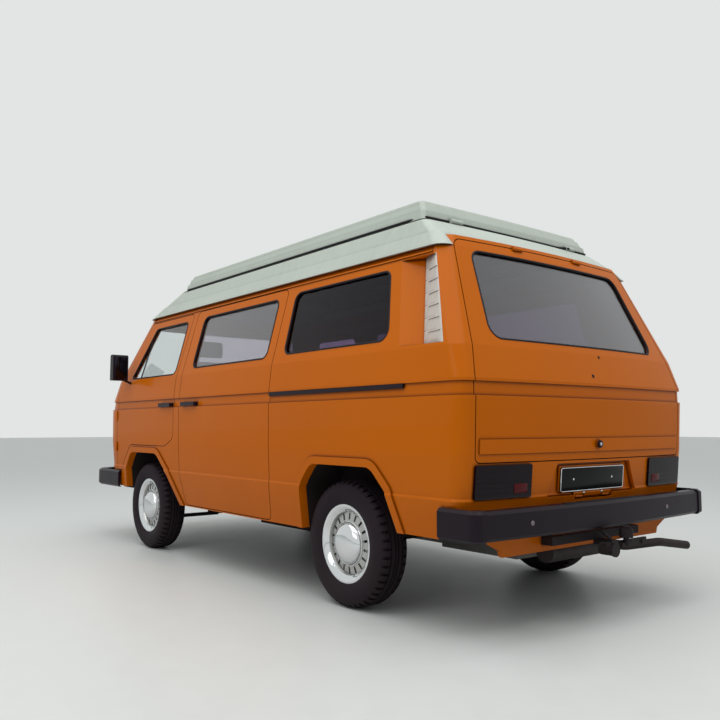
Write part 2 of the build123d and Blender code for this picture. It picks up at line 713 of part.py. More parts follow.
# Chassis rails under the floor with cross members
RAIL_END = 3290
JACK_PAD_Y = [560, 1780]
JACK_PAD_LOW = FLOOR_LOW - RAIL_TALL - 10
rails = None
for side in (-1, 1):
    x0 = side * RAIL_X - RAIL_WIDE / 2
    rail = block(x0, x0 + RAIL_WIDE, -760, RAIL_END, FLOOR_LOW - RAIL_TALL, FLOOR_LOW)
    rails = rail if rails is None else rails + rail
    for y in JACK_PAD_Y:
        rails = rails + block(x0, x0 + RAIL_WIDE, y - 30, y + 30, JACK_PAD_LOW, FLOOR_LOW - 60)
for y in (-420, 620, 2040, 3250):
    rails = rails + block(-RAIL_X, RAIL_X, y - 30, y + 30, FLOOR_LOW - 60, FLOOR_LOW - 10)
nodes["chassis_rails"] = rails

# Front suspension, knuckles and hubs
KNUCKLE_LOW = TYRE_RADIUS - 100
KNUCKLE_HIGH = TYRE_RADIUS + 78
front = block(-RAIL_X, RAIL_X, -70, 70, 225, FLOOR_LOW - 20)
for side in (-1, 1):
    end_x = side * KINGPIN_X
    for z in (KNUCKLE_LOW, KNUCKLE_HIGH):
        front = front + block(side * 280, end_x, -20, 20, z - 12, z + 12)
        front = front + rod((end_x, 0, z - 12), (end_x, 0, z + 12), 24)
    front = front + rod((end_x, 0, KNUCKLE_LOW), (end_x, 0, KNUCKLE_LOW + 34), 9)
    front = front + rod((end_x, 0, KNUCKLE_HIGH - 34), (end_x, 0, KNUCKLE_HIGH), 9)
    post = rod(
        (end_x, 0, KNUCKLE_LOW + 12 + PIN_GAP), (end_x, 0, KNUCKLE_HIGH - 12 - PIN_GAP), 20
    )
    low_pin = rod((end_x, 0, KNUCKLE_LOW), (end_x, 0, KNUCKLE_LOW + 34 + PIN_GAP), 9 + PIN_GAP)
    high_pin = rod((end_x, 0, KNUCKLE_HIGH - 34 - PIN_GAP), (end_x, 0, KNUCKLE_HIGH), 9 + PIN_GAP)
    tip = side * (FRONT_WHEEL_X + RIM_WIDTH / 2 - RIM_DISC_SETBACK + 4)
    spindle = rod((end_x, 0, TYRE_RADIUS), (tip, 0, TYRE_RADIUS), SPINDLE_RADIUS)
    word = "left" if side > 0 else "right"
    nodes["knuckle_" + word] = (post - low_pin - high_pin) + spindle
nodes["front_suspension"] = front - rails

# Rear suspension: trailing arms with the wheel spindles and drive shafts
arms = []
for side in (-1, 1):
    tip = side * (REAR_WHEEL_X + RIM_WIDTH / 2 - RIM_DISC_SETBACK + 4)
    arm = block(side * 430, side * 500, 2010, 2080, 300, 350)
    arm = arm + block(side * 300, side * 500, 2020, 2070, 330, FLOOR_LOW)
    arm = arm + rod((side * 465, 2045, 325), (side * 600, REAR_AXLE - 60, 325), 26)
    arm = arm + block(side * 585, side * 660, REAR_AXLE - 100, REAR_AXLE + 60, 290, 355)
    arm = arm + rod((side * 600, REAR_AXLE, TYRE_RADIUS), (tip, REAR_AXLE, TYRE_RADIUS), SPINDLE_RADIUS)
    arm = arm + rod((side * 120, REAR_AXLE, TYRE_RADIUS), (side * 600, REAR_AXLE, TYRE_RADIUS), 16)
    arms.append(arm - rails)
nodes["rear_suspension"] = arms

# Wheels: one rim and one tyre each, turned about the wheel's axis
half_rim = RIM_WIDTH / 2
disc_out = half_rim - RIM_DISC_SETBACK
RIM_PROFILE = [
    (-half_rim, RIM_RADIUS), (-half_rim + 5, RIM_RADIUS), (-half_rim + 9, RIM_SEAT),
    (half_rim - 9, RIM_SEAT), (half_rim - 5, RIM_RADIUS), (half_rim, RIM_RADIUS),
    (half_rim, RIM_RADIUS - 5), (half_rim - 14, 168), (disc_out - 4, 160), (disc_out + 2, 112),
    (disc_out + 16, 106), (disc_out + 24, 98), (disc_out + 38, 70), (disc_out + 44, 0),
    (disc_out + 6, 0), (disc_out + 6, SPINDLE_RADIUS + PIN_GAP),
    (disc_out - 34, SPINDLE_RADIUS + PIN_GAP), (disc_out - 34, 52), (disc_out - 8, 60),
    (disc_out - 8, 110), (disc_out - 12, 155), (-half_rim + 12, 172), (-half_rim, RIM_RADIUS - 6),
]
TYRE_PROFILE = [
    (-half_rim + 9.6, RIM_SEAT + 0.4), (-half_rim + 5.6, RIM_RADIUS + 0.4),
    (-half_rim - 4, RIM_RADIUS + 4), (-TYRE_WIDTH / 2, 258), (-TYRE_WIDTH / 2 + 8, 296),
    (-TYRE_TREAD / 2, TYRE_RADIUS), (TYRE_TREAD / 2, TYRE_RADIUS), (TYRE_WIDTH / 2 - 8, 296),
    (TYRE_WIDTH / 2, 258), (half_rim + 4, RIM_RADIUS + 4), (half_rim - 5.6, RIM_RADIUS + 0.4),
    (half_rim - 9.6, RIM_SEAT + 0.4),
]


def turned(profile):
    """A profile of x and radius turned about the X axis."""
    face = Face(Wire(Polyline([(x, r, 0) for x, r in profile], close=True).edges()))
    return revolve(face, Axis.X, 360)


rim = turned(RIM_PROFILE)
slot = Pos(disc_out - 5, 0, 137) * Box(40, 13, 34)
slots = [Rot(360 / RIM_SLOTS * index, 0, 0) * slot for index in range(RIM_SLOTS)]
rim = rim - slots
tyre = turned(TYRE_PROFILE)
WHEELS = [
    ("front_left", FRONT_WHEEL_X, 0), ("front_right", -FRONT_WHEEL_X, 0),
    ("rear_left", REAR_WHEEL_X, REAR_AXLE), ("rear_right", -REAR_WHEEL_X, REAR_AXLE),
]
for word, x, y in WHEELS:
    place = Pos(x, y, TYRE_RADIUS) * Rot(0, 0, 0 if x > 0 else 180)
    nodes["rim_" + word] = place * rim
    nodes["tyre_" + word] = place * tyre

# Engine block with the gearbox in front of it
engine = block(-299, 299, 2600, 3120, 270, 520) + block(-120, 120, 2180, 2600, 250, 420)
nodes["engine"] = engine + block(-299.9, 299.9, 2960, 3010, 390, 430)

# Exhaust: silencer across the rear and a tail pipe to the right
SILENCER_RADIUS = 52
silencer_z = FLOOR_LOW - 60 - SEAT_GAP - SILENCER_RADIUS
pipe_path = FilletPolyline(
    (-200, 3250, silencer_z), (-270, 3360, silencer_z - 8), (-400, 3470, 332), (-620, 3500, 298),
    radius=60,
)
pipe = sweep(Plane(pipe_path @ 0, z_dir=pipe_path % 0) * Circle(21), path=pipe_path)
silencer = rod((-250, 3250, silencer_z), (250, 3250, silencer_z), SILENCER_RADIUS)
nodes["exhaust"] = silencer + pipe


def bumper(front, proud=0):
    """A bowed bar round one end of the van, bevelled, thinner along the sides."""
    low = BUMPER_LOW - proud
    high = BUMPER_HIGH if front else BUMPER_HIGH + proud
    half = BUMPER_HALF + proud
    rows = []
    for z, bevel in (
        (low, BUMPER_EDGE), (low + BUMPER_EDGE, 0), (high - BUMPER_EDGE, 0), (high, BUMPER_EDGE),
    ):
        if front:
            y = FRONT_BUMPER_Y - proud + bevel
            rows.append((z, half - bevel, y, 1200, 70, 20, 210, 60))
        else:
            y = REAR_BUMPER_Y + proud - bevel
            rows.append((z, half - bevel, 1200, y, 20, 40, 60, 45))
    outer = stacked(rows)
    ring = outer - stacked(rows, BUMPER_THICK, below=5, above=5)
    side_ring = outer - stacked(rows, 16, below=5, above=5)
    if front:
        keep = block(-1000, 1000, -1200, -870, 300, 700)
        wing = block(-1000, 1000, -870, -452, 300, 700)
    else:
        keep = block(-1000, 1000, 3390, 3600, 300, 700)
        wing = block(-1000, 1000, 3215, 3390, 300, 700)
    return ((ring & keep) + (side_ring & wing)) - body_form(-3)


caps = []
for word, front, cap_x in (("front", True, FRONT_CAP_X), ("rear", False, REAR_CAP_X)):
    middle = block(-cap_x, cap_x, -1300, 3700, 300, 700)
    bar = bumper(front) & middle
    caps.append(bumper(front, BUMPER_CAP_PROUD) - middle)
    for side in (-1, 1):
        y_out = FRONT_BUMPER_Y + 40 if front else REAR_BUMPER_Y - 40
        y_in = -760 if front else 3290
        bracket = block(side * 300, side * 360, y_in, y_out, 470, 540)
        bar = bar + (bracket - body)
    nodes[word + "_bumper"] = bar
nodes["bumper_caps"] = caps

# Rear apron below the bumper
APRON = [
    (-770, SILL_REAR, 0), (-650, 372, 0), (-640, 340, 10), (640, 340, 10), (650, 372, 0),
    (770, SILL_REAR, 0),
]
APRON_Y = 3300
nodes["rear_apron"] = end_prism(APRON, APRON_Y, APRON_Y + 18)

# Tow bar: cross beam, neck, strut, socket on its plate, and the capped ball
PLATE_LOW = 344
SOCKET_X = 118
tow = block(-RAIL_X - 30, RAIL_X + 30, 3340, 3380, 372, 412)
tow = tow + block(-40, 40, 3380, 3540, 352, 374)
tow = tow + block(-210, SOCKET_X + 30, 3500, 3514, PLATE_LOW, 380)
tow = tow + rod((0, TOW_BALL_Y, 360), (0, TOW_BALL_Y, 400), 14)
tow = tow + rod((0, TOW_BALL_Y, 398), (0, TOW_BALL_Y, 440), TOW_CAP_RADIUS)
tow = tow + rod((0, TOW_BALL_Y, 440), (0, TOW_BALL_Y, 452), TOW_CAP_RADIUS - 8)
tow = tow + rod((70, 3440, BUMPER_LOW - 7), (44, 3506, 366), 9)
tow = tow + rod((SOCKET_X, 3478, 352), (SOCKET_X, 3548, 352), 29)
lid_start = Vector(SOCKET_X, 3548, 352)
tow = tow + rod(lid_start, lid_start + Vector(0, 8, 0), 33)
tow = tow + rod((SOCKET_X - 22, 3548, 386), (SOCKET_X + 22, 3548, 386), 7)
for x in (-170, -70):
    tow = tow + rod((x, 3494, 362), (x, 3522, 362), 11)
for side in (-1, 1):
    tow = tow + block(side * 300, side * 360, RAIL_END, 3345, 372, 412)
nodes["rear_apron"] = nodes["rear_apron"] - tow
nodes["tow_bar"] = tow


def handle(y0, y1):
    """Pull handle in the groove of the left side."""
    span = block(800, 1010, y0, y1, 1064, 1092)
    feet = block(800, 1010, y0, y0 + 28, 1066, 1090) + block(800, 1010, y1 - 40, y1, 1066, 1090)
    return (grip_layer & span) + (foot_layer & feet)


grip_layer = skin(-24, -14) & left_half
foot_layer = skin(-14, GROOVE_DEPTH) & left_half
handle_left = handle(300, 496)
MIRROR = [(-352, 1286, 14), (-352, 1492, 20), (-288, 1492, 20), (-288, 1286, 14)]
mirror_left = side_prism(MIRROR, inner=945, outer=1068)
mirror_left = mirror_left + (rod((890, -330, 1262), (985, -320, 1300), 9) - body)
nodes["door_trim_left"] = [handle_left, mirror_left]
nodes["door_trim_right"] = [handle_left.mirror(Plane.YZ), mirror_left.mirror(Plane.YZ)]
rail = skin(-3, GROOVE_DEPTH) & block(700, 1010, 1808, 2980, 1100, 1120)
nodes["slider_trim"] = [handle(675, 880), rail]

# Inside: seats, dashboard, steering wheel, rear bench and cabinets
seats = []
for side in (-1, 1):
    base = block(side * 270, side * 790, -300, 220, SEAT_TOP + SEAT_GAP, SEAT_TOP + 130)
    back = prism(
        [(150, SEAT_TOP + 130, 0), (260, 1440, 40), (350, 1440, 40), (290, SEAT_TOP + 60, 20),
         (150, SEAT_TOP + 60, 0)],
        lambda a, b, side=side: (side * 280, a, b),
        (side * 500, 0, 0),
    )
    seats.append(base + back + block(side * 410, side * 650, 285, 350, 1430, 1590))
nodes["front_seats"] = seats
dash = block(-860, 860, -760, -560, 960, 1190) + block(-860, 860, -800, -730, 940, 1240)
nodes["dashboard"] = dash & room
column = rod((-400, -640, 1010), (-400, -430, 1110), 22) - nodes["dashboard"]
wheel_plane = Plane(origin=(-400, -425, 1112), z_dir=(0, 0.906, 0.423))
wheel = Solid.make_torus(200, 13, wheel_plane) + wheel_plane * Box(390, 44, 12)
nodes["steering_wheel"] = column + wheel + wheel_plane * Cylinder(42, 30)
floor_top = FLOOR_LOW + FLOOR
bench = block(-860, 420, 1560, 2090, floor_top, 800) & room
kitchen = block(-870, -480, 760, 1480, floor_top, 1260) & room
cabinet = block(430, 870, 1905, 2090, floor_top, 1240) & room
nodes["furniture"] = [bench, kitchen, cabinet]
cushion = block(-840, 410, 1550, 2080, 800 + SEAT_GAP, 900) & room
backrest = block(-840, 410, 2050, 2160, 900 + SEAT_GAP, 1400) & room
nodes["bench_cushions"] = [cushion, backrest]
nodes["fuel_tank"] = block(-290, 290, 700, 1500, 215, FLOOR_LOW)

os.makedirs("parts", exist_ok=True)
for name, shape in nodes.items():
    shapes = shape if isinstance(shape, list) else [shape]
    place = Location((0, -ORIGIN_Y, 0))
    solids = [solid.moved(place) for piece in shapes for solid in piece.solids()]
    whole = solids[0] if len(solids) == 1 else Compound(solids)
    export_step(whole, "parts/" + name + ".step")
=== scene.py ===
# %% [markdown]
# # A camper van, dressed for its portrait
# The construction is already there: panels, doors, wheels and floor come in as a fixed frame.
# This script gives each surface its finish and adds what a body shop and a trimmer would add:
# rubber seals, tyre tread, chrome, lamps, cushions, screws. First the frame is loaded. Nothing
# added later may change the van's size.

# %% Load the frame
import json
import math
import bmesh
import bpy
from mathutils import Matrix, Vector
from mathutils.bvhtree import BVHTree


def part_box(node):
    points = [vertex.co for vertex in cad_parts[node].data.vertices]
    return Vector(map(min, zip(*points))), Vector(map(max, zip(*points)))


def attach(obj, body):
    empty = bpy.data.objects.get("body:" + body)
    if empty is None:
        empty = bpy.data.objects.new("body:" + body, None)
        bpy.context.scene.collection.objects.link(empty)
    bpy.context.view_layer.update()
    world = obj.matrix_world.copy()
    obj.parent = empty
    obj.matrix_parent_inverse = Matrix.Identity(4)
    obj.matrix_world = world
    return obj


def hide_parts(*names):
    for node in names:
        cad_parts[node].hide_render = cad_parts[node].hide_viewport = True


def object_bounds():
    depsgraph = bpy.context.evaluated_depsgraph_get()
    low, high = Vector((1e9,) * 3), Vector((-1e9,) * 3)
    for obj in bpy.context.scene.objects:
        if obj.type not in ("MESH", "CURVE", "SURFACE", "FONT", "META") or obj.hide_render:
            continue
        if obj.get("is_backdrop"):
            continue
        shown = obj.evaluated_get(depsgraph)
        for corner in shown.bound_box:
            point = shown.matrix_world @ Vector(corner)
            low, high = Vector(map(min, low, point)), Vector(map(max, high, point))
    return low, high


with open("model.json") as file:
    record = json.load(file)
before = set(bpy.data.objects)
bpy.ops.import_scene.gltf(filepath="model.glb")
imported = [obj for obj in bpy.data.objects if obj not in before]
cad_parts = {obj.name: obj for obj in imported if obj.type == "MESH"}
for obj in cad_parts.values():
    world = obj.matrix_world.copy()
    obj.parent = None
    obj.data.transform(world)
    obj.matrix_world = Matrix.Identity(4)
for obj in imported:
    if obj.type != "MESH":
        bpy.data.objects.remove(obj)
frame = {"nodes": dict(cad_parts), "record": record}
nodes = frame["nodes"]
slots = {part["node"]: part["material_slot"] for part in frame["record"]["subparts"]}
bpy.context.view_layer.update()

# %% [markdown]
# ## Where things are
# X runs to the van's left, and Y runs to the rear from the middle of the van. The axles, the
# tyre's size and the ground are read once from the wheels, so every piece below hangs on the
# real construction.

# %% Places read from the frame
SIDES = (("left", 1), ("right", -1))
rear_low, rear_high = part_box("tyre_rear_left")
front_low, front_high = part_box("tyre_front_left")
TYRE_RADIUS = (rear_high.z - rear_low.z) / 2
REAR_AXLE = (rear_low.y + rear_high.y) / 2
FRONT_AXLE = (front_low.y + front_high.y) / 2
AXLES = (
    ("front_", front_low.x + front_high.x, FRONT_AXLE),
    ("rear_", rear_low.x + rear_high.x, REAR_AXLE),
)
WHEELS = {
    end + word: Vector((side * track / 2, axle, TYRE_RADIUS))
    for end, track, axle in AXLES for word, side in SIDES
}
print("wheelbase", round(REAR_AXLE - FRONT_AXLE, 3), "tyre radius", round(TYRE_RADIUS, 3))

# %% [markdown]
# ## Camera
# The photographer stood behind the van's left rear corner with the camera at chest height,
# looking slightly up. The place, the turn and the lens come from the van's own lines: two
# vanishing points and a few known sizes fix all of them.

# %% Camera
CAMERA_PLACE = (3.2634, 4.3545, 0.9233)
CAMERA_TURN = math.radians(38.67)
CAMERA_RISE = math.radians(5.02)
CAMERA_LENS, SENSOR_WIDTH = 37.69, 36

scene = bpy.context.scene
camera_data = bpy.data.cameras.new("camera")
camera_data.lens = CAMERA_LENS
camera_data.sensor_width = SENSOR_WIDTH
camera = bpy.data.objects.new("camera", camera_data)
scene.collection.objects.link(camera)
looking = Vector((
    -math.sin(CAMERA_TURN) * math.cos(CAMERA_RISE),
    -math.cos(CAMERA_TURN) * math.cos(CAMERA_RISE),
    math.sin(CAMERA_RISE),
))
camera.location = CAMERA_PLACE
camera.rotation_mode = "QUATERNION"
camera.rotation_quaternion = looking.to_track_quat("-Z", "Y")
scene.camera = camera
print("camera looks along", [round(v, 3) for v in looking])

# %% [markdown]
# ## Colours and nodes
# Colours are easiest to judge as a screen shows them, from 0 to 255, but the renderer counts
# light in even steps, so each colour is turned into those values where it is written. Two small
# helpers keep the node trees below short.

# %% Colours and node helpers
def shade(red, green, blue):
    """A colour written in 0 to 255 as seen on a screen, in the renderer's linear values."""
    def linear(value):
        value = value / 255
        return value / 12.92 if value <= 0.04045 else ((value + 0.055) / 1.055) ** 2.4
    return (linear(red), linear(green), linear(blue), 1.0)


def feed(tree, value, socket):
    """Gives a socket a plain value, or links another socket to it."""
    if isinstance(value, bpy.types.NodeSocket):
        tree.links.new(value, socket)
    else:
        socket.default_value = value


def maths(tree, operation, first, second, clamp=False):
    """A math node on sockets or numbers."""
    node = tree.nodes.new("ShaderNodeMath")
    node.operation = operation
    node.use_clamp = clamp
    feed(tree, first, node.inputs[0])
    feed(tree, second, node.inputs[1])
    return node.outputs[0]


# %% [markdown]
# ## Studio
# An overcast sky is one big soft light from above. A pale world does most of it, a wide soft
# box overhead gives the roof and the shoulders their sheen, and the floor is a plain pale
# plane. The world grows dark towards the ground, so creases and lips show as they do outdoors.
# The lens, glass and chrome see one pale background instead.

# %% World
BACKDROP = shade(226, 229, 228)
SKY_STRENGTH = 0.85
SKY = [
    (0.0, shade(70, 70, 70)), (0.10, shade(112, 116, 118)), (0.24, shade(176, 182, 184)),
    (0.75, shade(236, 240, 240)),
]


def studio_world():
    """A sky that is palest above, with one plain tone where it is seen or mirrored."""
    made = bpy.data.worlds.new("studio")
    made.use_nodes = True
    tree = made.node_tree
    tree.nodes.clear()
    direction, split, ramp, sky, seen, rays, choose, world_out = [
        tree.nodes.new("ShaderNode" + kind) for kind in (
            "TexCoord", "SeparateXYZ", "ValToRGB", "Background", "Background", "LightPath",
            "MixShader", "OutputWorld",
        )
    ]
    stops = ramp.color_ramp.elements
    stops[0].position, stops[1].position = SKY[0][0], SKY[-1][0]
    for height, _ in SKY[1:-1]:
        stops.new(height)
    for stop, (_, tone) in zip(stops, SKY):
        stop.color = tone
    sky.inputs["Strength"].default_value = SKY_STRENGTH
    seen.inputs["Color"].default_value = BACKDROP
    direct = maths(tree, "ADD", rays.outputs["Is Camera Ray"], rays.outputs["Is Glossy Ray"])
    plain = maths(tree, "ADD", direct, rays.outputs["Is Transmission Ray"], clamp=True)
    for start, end in (
        (direction.outputs["Generated"], split.inputs[0]),
        (split.outputs["Z"], ramp.inputs["Fac"]),
        (ramp.outputs["Color"], sky.inputs["Color"]),
        (plain, choose.inputs["Fac"]),
        (sky.outputs[0], choose.inputs[1]),
        (seen.outputs[0], choose.inputs[2]),
        (choose.outputs[0], world_out.inputs["Surface"]),
    ):
        tree.links.new(start, end)
    return made


scene.view_settings.view_transform = "Standard"
scene.world = studio_world()
print("sky stops", [height for height, _ in SKY])

# %% Soft boxes and floor
LAMP_TARGET = Vector((0, 0, 1.0))
SOFT_BOXES = [
    ("box_above", (1.5, 1.5, 6.5), 9.0, 7.0, 330),
    ("box_left", (8.5, 3.0, 4.4), 6.0, 3.0, 60),
]
FLOOR_HALF = 60


def soft_box(name, place, width, depth, power):
    """A rectangular area lamp that points at the van."""
    lamp = bpy.data.lights.new(name, "AREA")
    lamp.shape = "RECTANGLE"
    lamp.size = width
    lamp.size_y = depth
    lamp.energy = power
    holder = bpy.data.objects.new(name, lamp)
    holder.location = place
    holder.rotation_mode = "QUATERNION"
    holder.rotation_quaternion = (LAMP_TARGET - Vector(place)).to_track_quat("-Z", "Y")
    scene.collection.objects.link(holder)


def floor_plane():
    """A wide pale floor."""
    shape = bmesh.new()
    bmesh.ops.create_grid(shape, x_segments=1, y_segments=1, size=FLOOR_HALF)
    mesh = bpy.data.meshes.new("floor")
    shape.to_mesh(mesh)
    shape.free()
    plane = bpy.data.objects.new("floor", mesh)
    scene.collection.objects.link(plane)
    plane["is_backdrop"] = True
    return plane


for values in SOFT_BOXES:
    soft_box(*values)
floor = floor_plane()
print("soft boxes", [values[0] for values in SOFT_BOXES])

# %% [markdown]
# ## Shared finishes
# Real surfaces vary: paint has a faint orange peel, plastic has grain, and road dirt gathers
# low on the van. Each effect is one node group that puts out a mask or a height. The materials
# below place it with their own values. All patterns read the piece's own coordinates, so they
# move with it.

# %% Group helpers
def new_group(name, inputs, outputs):
    """An empty node group with float inputs and named outputs."""
    group = bpy.data.node_groups.new(name, "ShaderNodeTree")
    for label, value in inputs:
        socket = group.interface.new_socket(label, in_out="INPUT", socket_type="NodeSocketFloat")
        socket.default_value = value
    for label in outputs:
        group.interface.new_socket(label, in_out="OUTPUT", socket_type="NodeSocketFloat")
    way_in = group.nodes.new("NodeGroupInput")
    way_out = group.nodes.new("NodeGroupOutput")
    return group, way_in, way_out


def own_place(tree):
    """The coordinates of the piece itself."""
    return tree.nodes.new("ShaderNodeTexCoord").outputs["Object"]


def noise(tree, place, scale, detail):
    """A noise texture on given coordinates; scale is a number or a socket."""
    node = tree.nodes.new("ShaderNodeTexNoise")
    node.inputs["Detail"].default_value = detail
    tree.links.new(place, node.inputs["Vector"])
    feed(tree, scale, node.inputs["Scale"])
    return node.outputs["Fac"]


# %% Effect groups
PEEL_HEIGHT = 0.02
CLOUD_SIZE = 7.0


def dirt_group():
    """Road dirt: strongest near the ground, and patchy."""
    group, way_in, way_out = new_group(
        "road_dirt", [("Low", 0.25), ("High", 1.1), ("Patch Size", 3.0)], ["Dirt"]
    )
    place = own_place(group)
    height = group.nodes.new("ShaderNodeSeparateXYZ")
    group.links.new(place, height.inputs[0])
    fade = group.nodes.new("ShaderNodeMapRange")
    fade.interpolation_type = "SMOOTHSTEP"
    group.links.new(height.outputs["Z"], fade.inputs["Value"])
    group.links.new(way_in.outputs["Low"], fade.inputs["From Max"])
    group.links.new(way_in.outputs["High"], fade.inputs["From Min"])
    patches = noise(group, place, way_in.outputs["Patch Size"], 6.0)
    dirt = maths(group, "MULTIPLY", fade.outputs["Result"], patches, clamp=True)
    group.links.new(dirt, way_out.inputs["Dirt"])
    return group


def peel_group():
    """Orange peel of sprayed paint, with a slow wave of the sheet metal under it."""
    group, way_in, way_out = new_group(
        "paint_peel", [("Peel Size", 190.0), ("Wave Size", 2.4), ("Wave", 0.35)], ["Height"]
    )
    place = own_place(group)
    peel = noise(group, place, way_in.outputs["Peel Size"], 1.0)
    wave = noise(group, place, way_in.outputs["Wave Size"], 1.0)
    waves = maths(group, "MULTIPLY", wave, way_in.outputs["Wave"])
    small = maths(group, "MULTIPLY", peel, PEEL_HEIGHT)
    group.links.new(maths(group, "ADD", small, waves), way_out.inputs["Height"])
    return group


def grain_group():
    """Moulded grain of plastic and rubber: small cells, with a clouded tone."""
    group, way_in, way_out = new_group("moulded_grain", [("Grain Size", 420.0)], ["Height", "Tone"])
    place = own_place(group)
    cells = group.nodes.new("ShaderNodeTexVoronoi")
    group.links.new(place, cells.inputs["Vector"])
    group.links.new(way_in.outputs["Grain Size"], cells.inputs["Scale"])
    group.links.new(cells.outputs["Distance"], way_out.inputs["Height"])
    group.links.new(noise(group, place, CLOUD_SIZE, 5.0), way_out.inputs["Tone"])
    return group


DIRT, PEEL, GRAIN = dirt_group(), peel_group(), grain_group()
print("effects", [group.name for group in (DIRT, PEEL, GRAIN)])

# %% [markdown]
# ## Finishes of the van
# Every finish starts from the same shader and sets plain numbers on it. Colour goes through a
# mix only where it changes over the surface. Gaps and corners are darkened with painted shade
# and some dirt, where shadow and dirt gather, which a plain colour can't show.

# %% Material helpers
GAP_CURVE, GAP_SAMPLES = 1.6, 8


def new_material(name):
    """A material with its tree and shader."""
    material = bpy.data.materials.new(name)
    material.use_nodes = True
    tree = material.node_tree
    return material, tree, tree.nodes["Principled BSDF"]


def set_plain(node, **numbers):
    """Sets plain values on a node's sockets; an underscore stands for a space."""
    for label, number in numbers.items():
        node.inputs[label.replace("_", " ")].default_value = number


def group_node(tree, group, **values):
    """Places an effect group in a material with its own values."""
    node = tree.nodes.new("ShaderNodeGroup")
    node.node_tree = group
    set_plain(node, **values)
    return node


def blend_colors(tree, factor, first, second):
    """Mixes two colours, or sockets, by a socket."""
    node = tree.nodes.new("ShaderNodeMix")
    node.data_type = "RGBA"
    tree.links.new(factor, node.inputs["Factor"])
    for label, value in (("A", first), ("B", second)):
        feed(tree, value, [s for s in node.inputs if s.name == label and s.type == "RGBA"][0])
    return [s for s in node.outputs if s.type == "RGBA"][0]


def stretch(tree, value, low, high):
    """Maps a mask from 0..1 to low..high."""
    node = tree.nodes.new("ShaderNodeMapRange")
    set_plain(node, To_Min=low, To_Max=high)
    tree.links.new(value, node.inputs["Value"])
    return node.outputs["Result"]


def bump(tree, shader, height, strength, distance=0.001):
    """A bump on the shader's normal."""
    node = tree.nodes.new("ShaderNodeBump")
    set_plain(node, Strength=strength, Distance=distance)
    tree.links.new(height, node.inputs["Height"])
    tree.links.new(node.outputs["Normal"], shader.inputs["Normal"])


def gap_shade_and_dirt(tree, color, shade_and_dirt_tone, reach):
    """Darkens a colour in narrow gaps and corners by how near other surfaces are: painted shade,
    with some dirt.
    """
    near = tree.nodes.new("ShaderNodeAmbientOcclusion")
    near.samples = GAP_SAMPLES
    near.inputs["Distance"].default_value = reach
    open_air = maths(tree, "POWER", near.outputs["AO"], GAP_CURVE)
    return blend_colors(tree, open_air, shade_and_dirt_tone, color)


# %% [markdown]
# ## Paint and roof
# The paint is a warm amber under a thin lacquer, a little uneven from years of sun and dustier
# towards the sills. The roof is white fibreglass that rain has streaked, so its noise is drawn
# out along Z.

# %% Paint and roof
DUST_ON_PAINT, PAINT_GAP, ROOF_GAP = 0.4, 0.016, 0.02
STREAK_STRETCH = (1.0, 1.0, 0.12)


def body_paint():
    """Amber paint under lacquer, with road dirt low down and gaps darkened by painted shade and
    dirt.
    """
    material, tree, shader = new_material("amber_paint")
    dirt = group_node(tree, DIRT, Low=0.3, High=0.85, Patch_Size=2.6).outputs["Dirt"]
    peel = group_node(tree, PEEL)
    fade = noise(tree, own_place(tree), 0.9, 2.0)
    paint = blend_colors(tree, fade, shade(192, 94, 0), shade(200, 102, 0))
    film = maths(tree, "MULTIPLY", dirt, DUST_ON_PAINT)
    dusty = blend_colors(tree, film, paint, shade(116, 58, 16))
    # Gaps and shut lines are darkened by how near other surfaces are: painted shade, with some
    # dirt.
    paint_with_gap_shade_and_dirt = gap_shade_and_dirt(tree, dusty, shade(34, 12, 6), PAINT_GAP)
    tree.links.new(paint_with_gap_shade_and_dirt, shader.inputs["Base Color"])
    tree.links.new(stretch(tree, dirt, 0.3, 0.6), shader.inputs["Roughness"])
    set_plain(shader, Specular_IOR_Level=0.04, Coat_Weight=0.16, Coat_Roughness=0.03)
    bump(tree, shader, peel.outputs["Height"], 0.25)
    return material


def roof_shell():
    """White fibreglass, gone slightly green-grey, with faint rain streaks and gaps darkened by
    painted shade and dirt.
    """
    material, tree, shader = new_material("roof_fibreglass")
    place = own_place(tree)
    streaks = tree.nodes.new("ShaderNodeMapping")
    set_plain(streaks, Scale=STREAK_STRETCH)
    tree.links.new(place, streaks.inputs["Vector"])
    run = noise(tree, streaks.outputs["Vector"], 26.0, 4.0)
    cloud = noise(tree, place, 1.6, 5.0)
    faint = stretch(tree, maths(tree, "MULTIPLY", run, cloud), 0.0, 0.8)
    tone = blend_colors(tree, faint, shade(184, 192, 182), shade(150, 156, 144))
    # The roof's gaps are darkened the same way: painted shade, with some dirt.
    roof_with_gap_shade_and_dirt = gap_shade_and_dirt(tree, tone, shade(70, 66, 60), ROOF_GAP)
    tree.links.new(roof_with_gap_shade_and_dirt, shader.inputs["Base Color"])
    tree.links.new(stretch(tree, cloud, 0.3, 0.5), shader.inputs["Roughness"])
    set_plain(shader, Specular_IOR_Level=0.3, Coat_Weight=0.1, Coat_Roughness=0.2)
    bump(tree, shader, noise(tree, place, 300.0, 2.0), 0.05)
    return material


# %% [markdown]
# ## Plastic, rubber, cloth, metal and glass
# The black parts of the van differ only in tone, polish and grain, so one recipe with numbers
# serves them all. Plated metal needs little more than a polish that varies. The rear panes are
# solid tinted glass, with a coat that mirrors more sky than plain glass does.

# %% Recipes
DIRTY_BROWN = shade(112, 96, 80)
PLASTIC_GAP, GRAIN_DEPTH, WEAVE_DEPTH, PLATING_DEPTH = 0.035, 0.0004, 0.0005, 0.0003
DARKER = 0.86
COAT_BEND, COAT_BLUR, SMEAR = 1.7, 0.25, 0.04
THREADS = 420.0


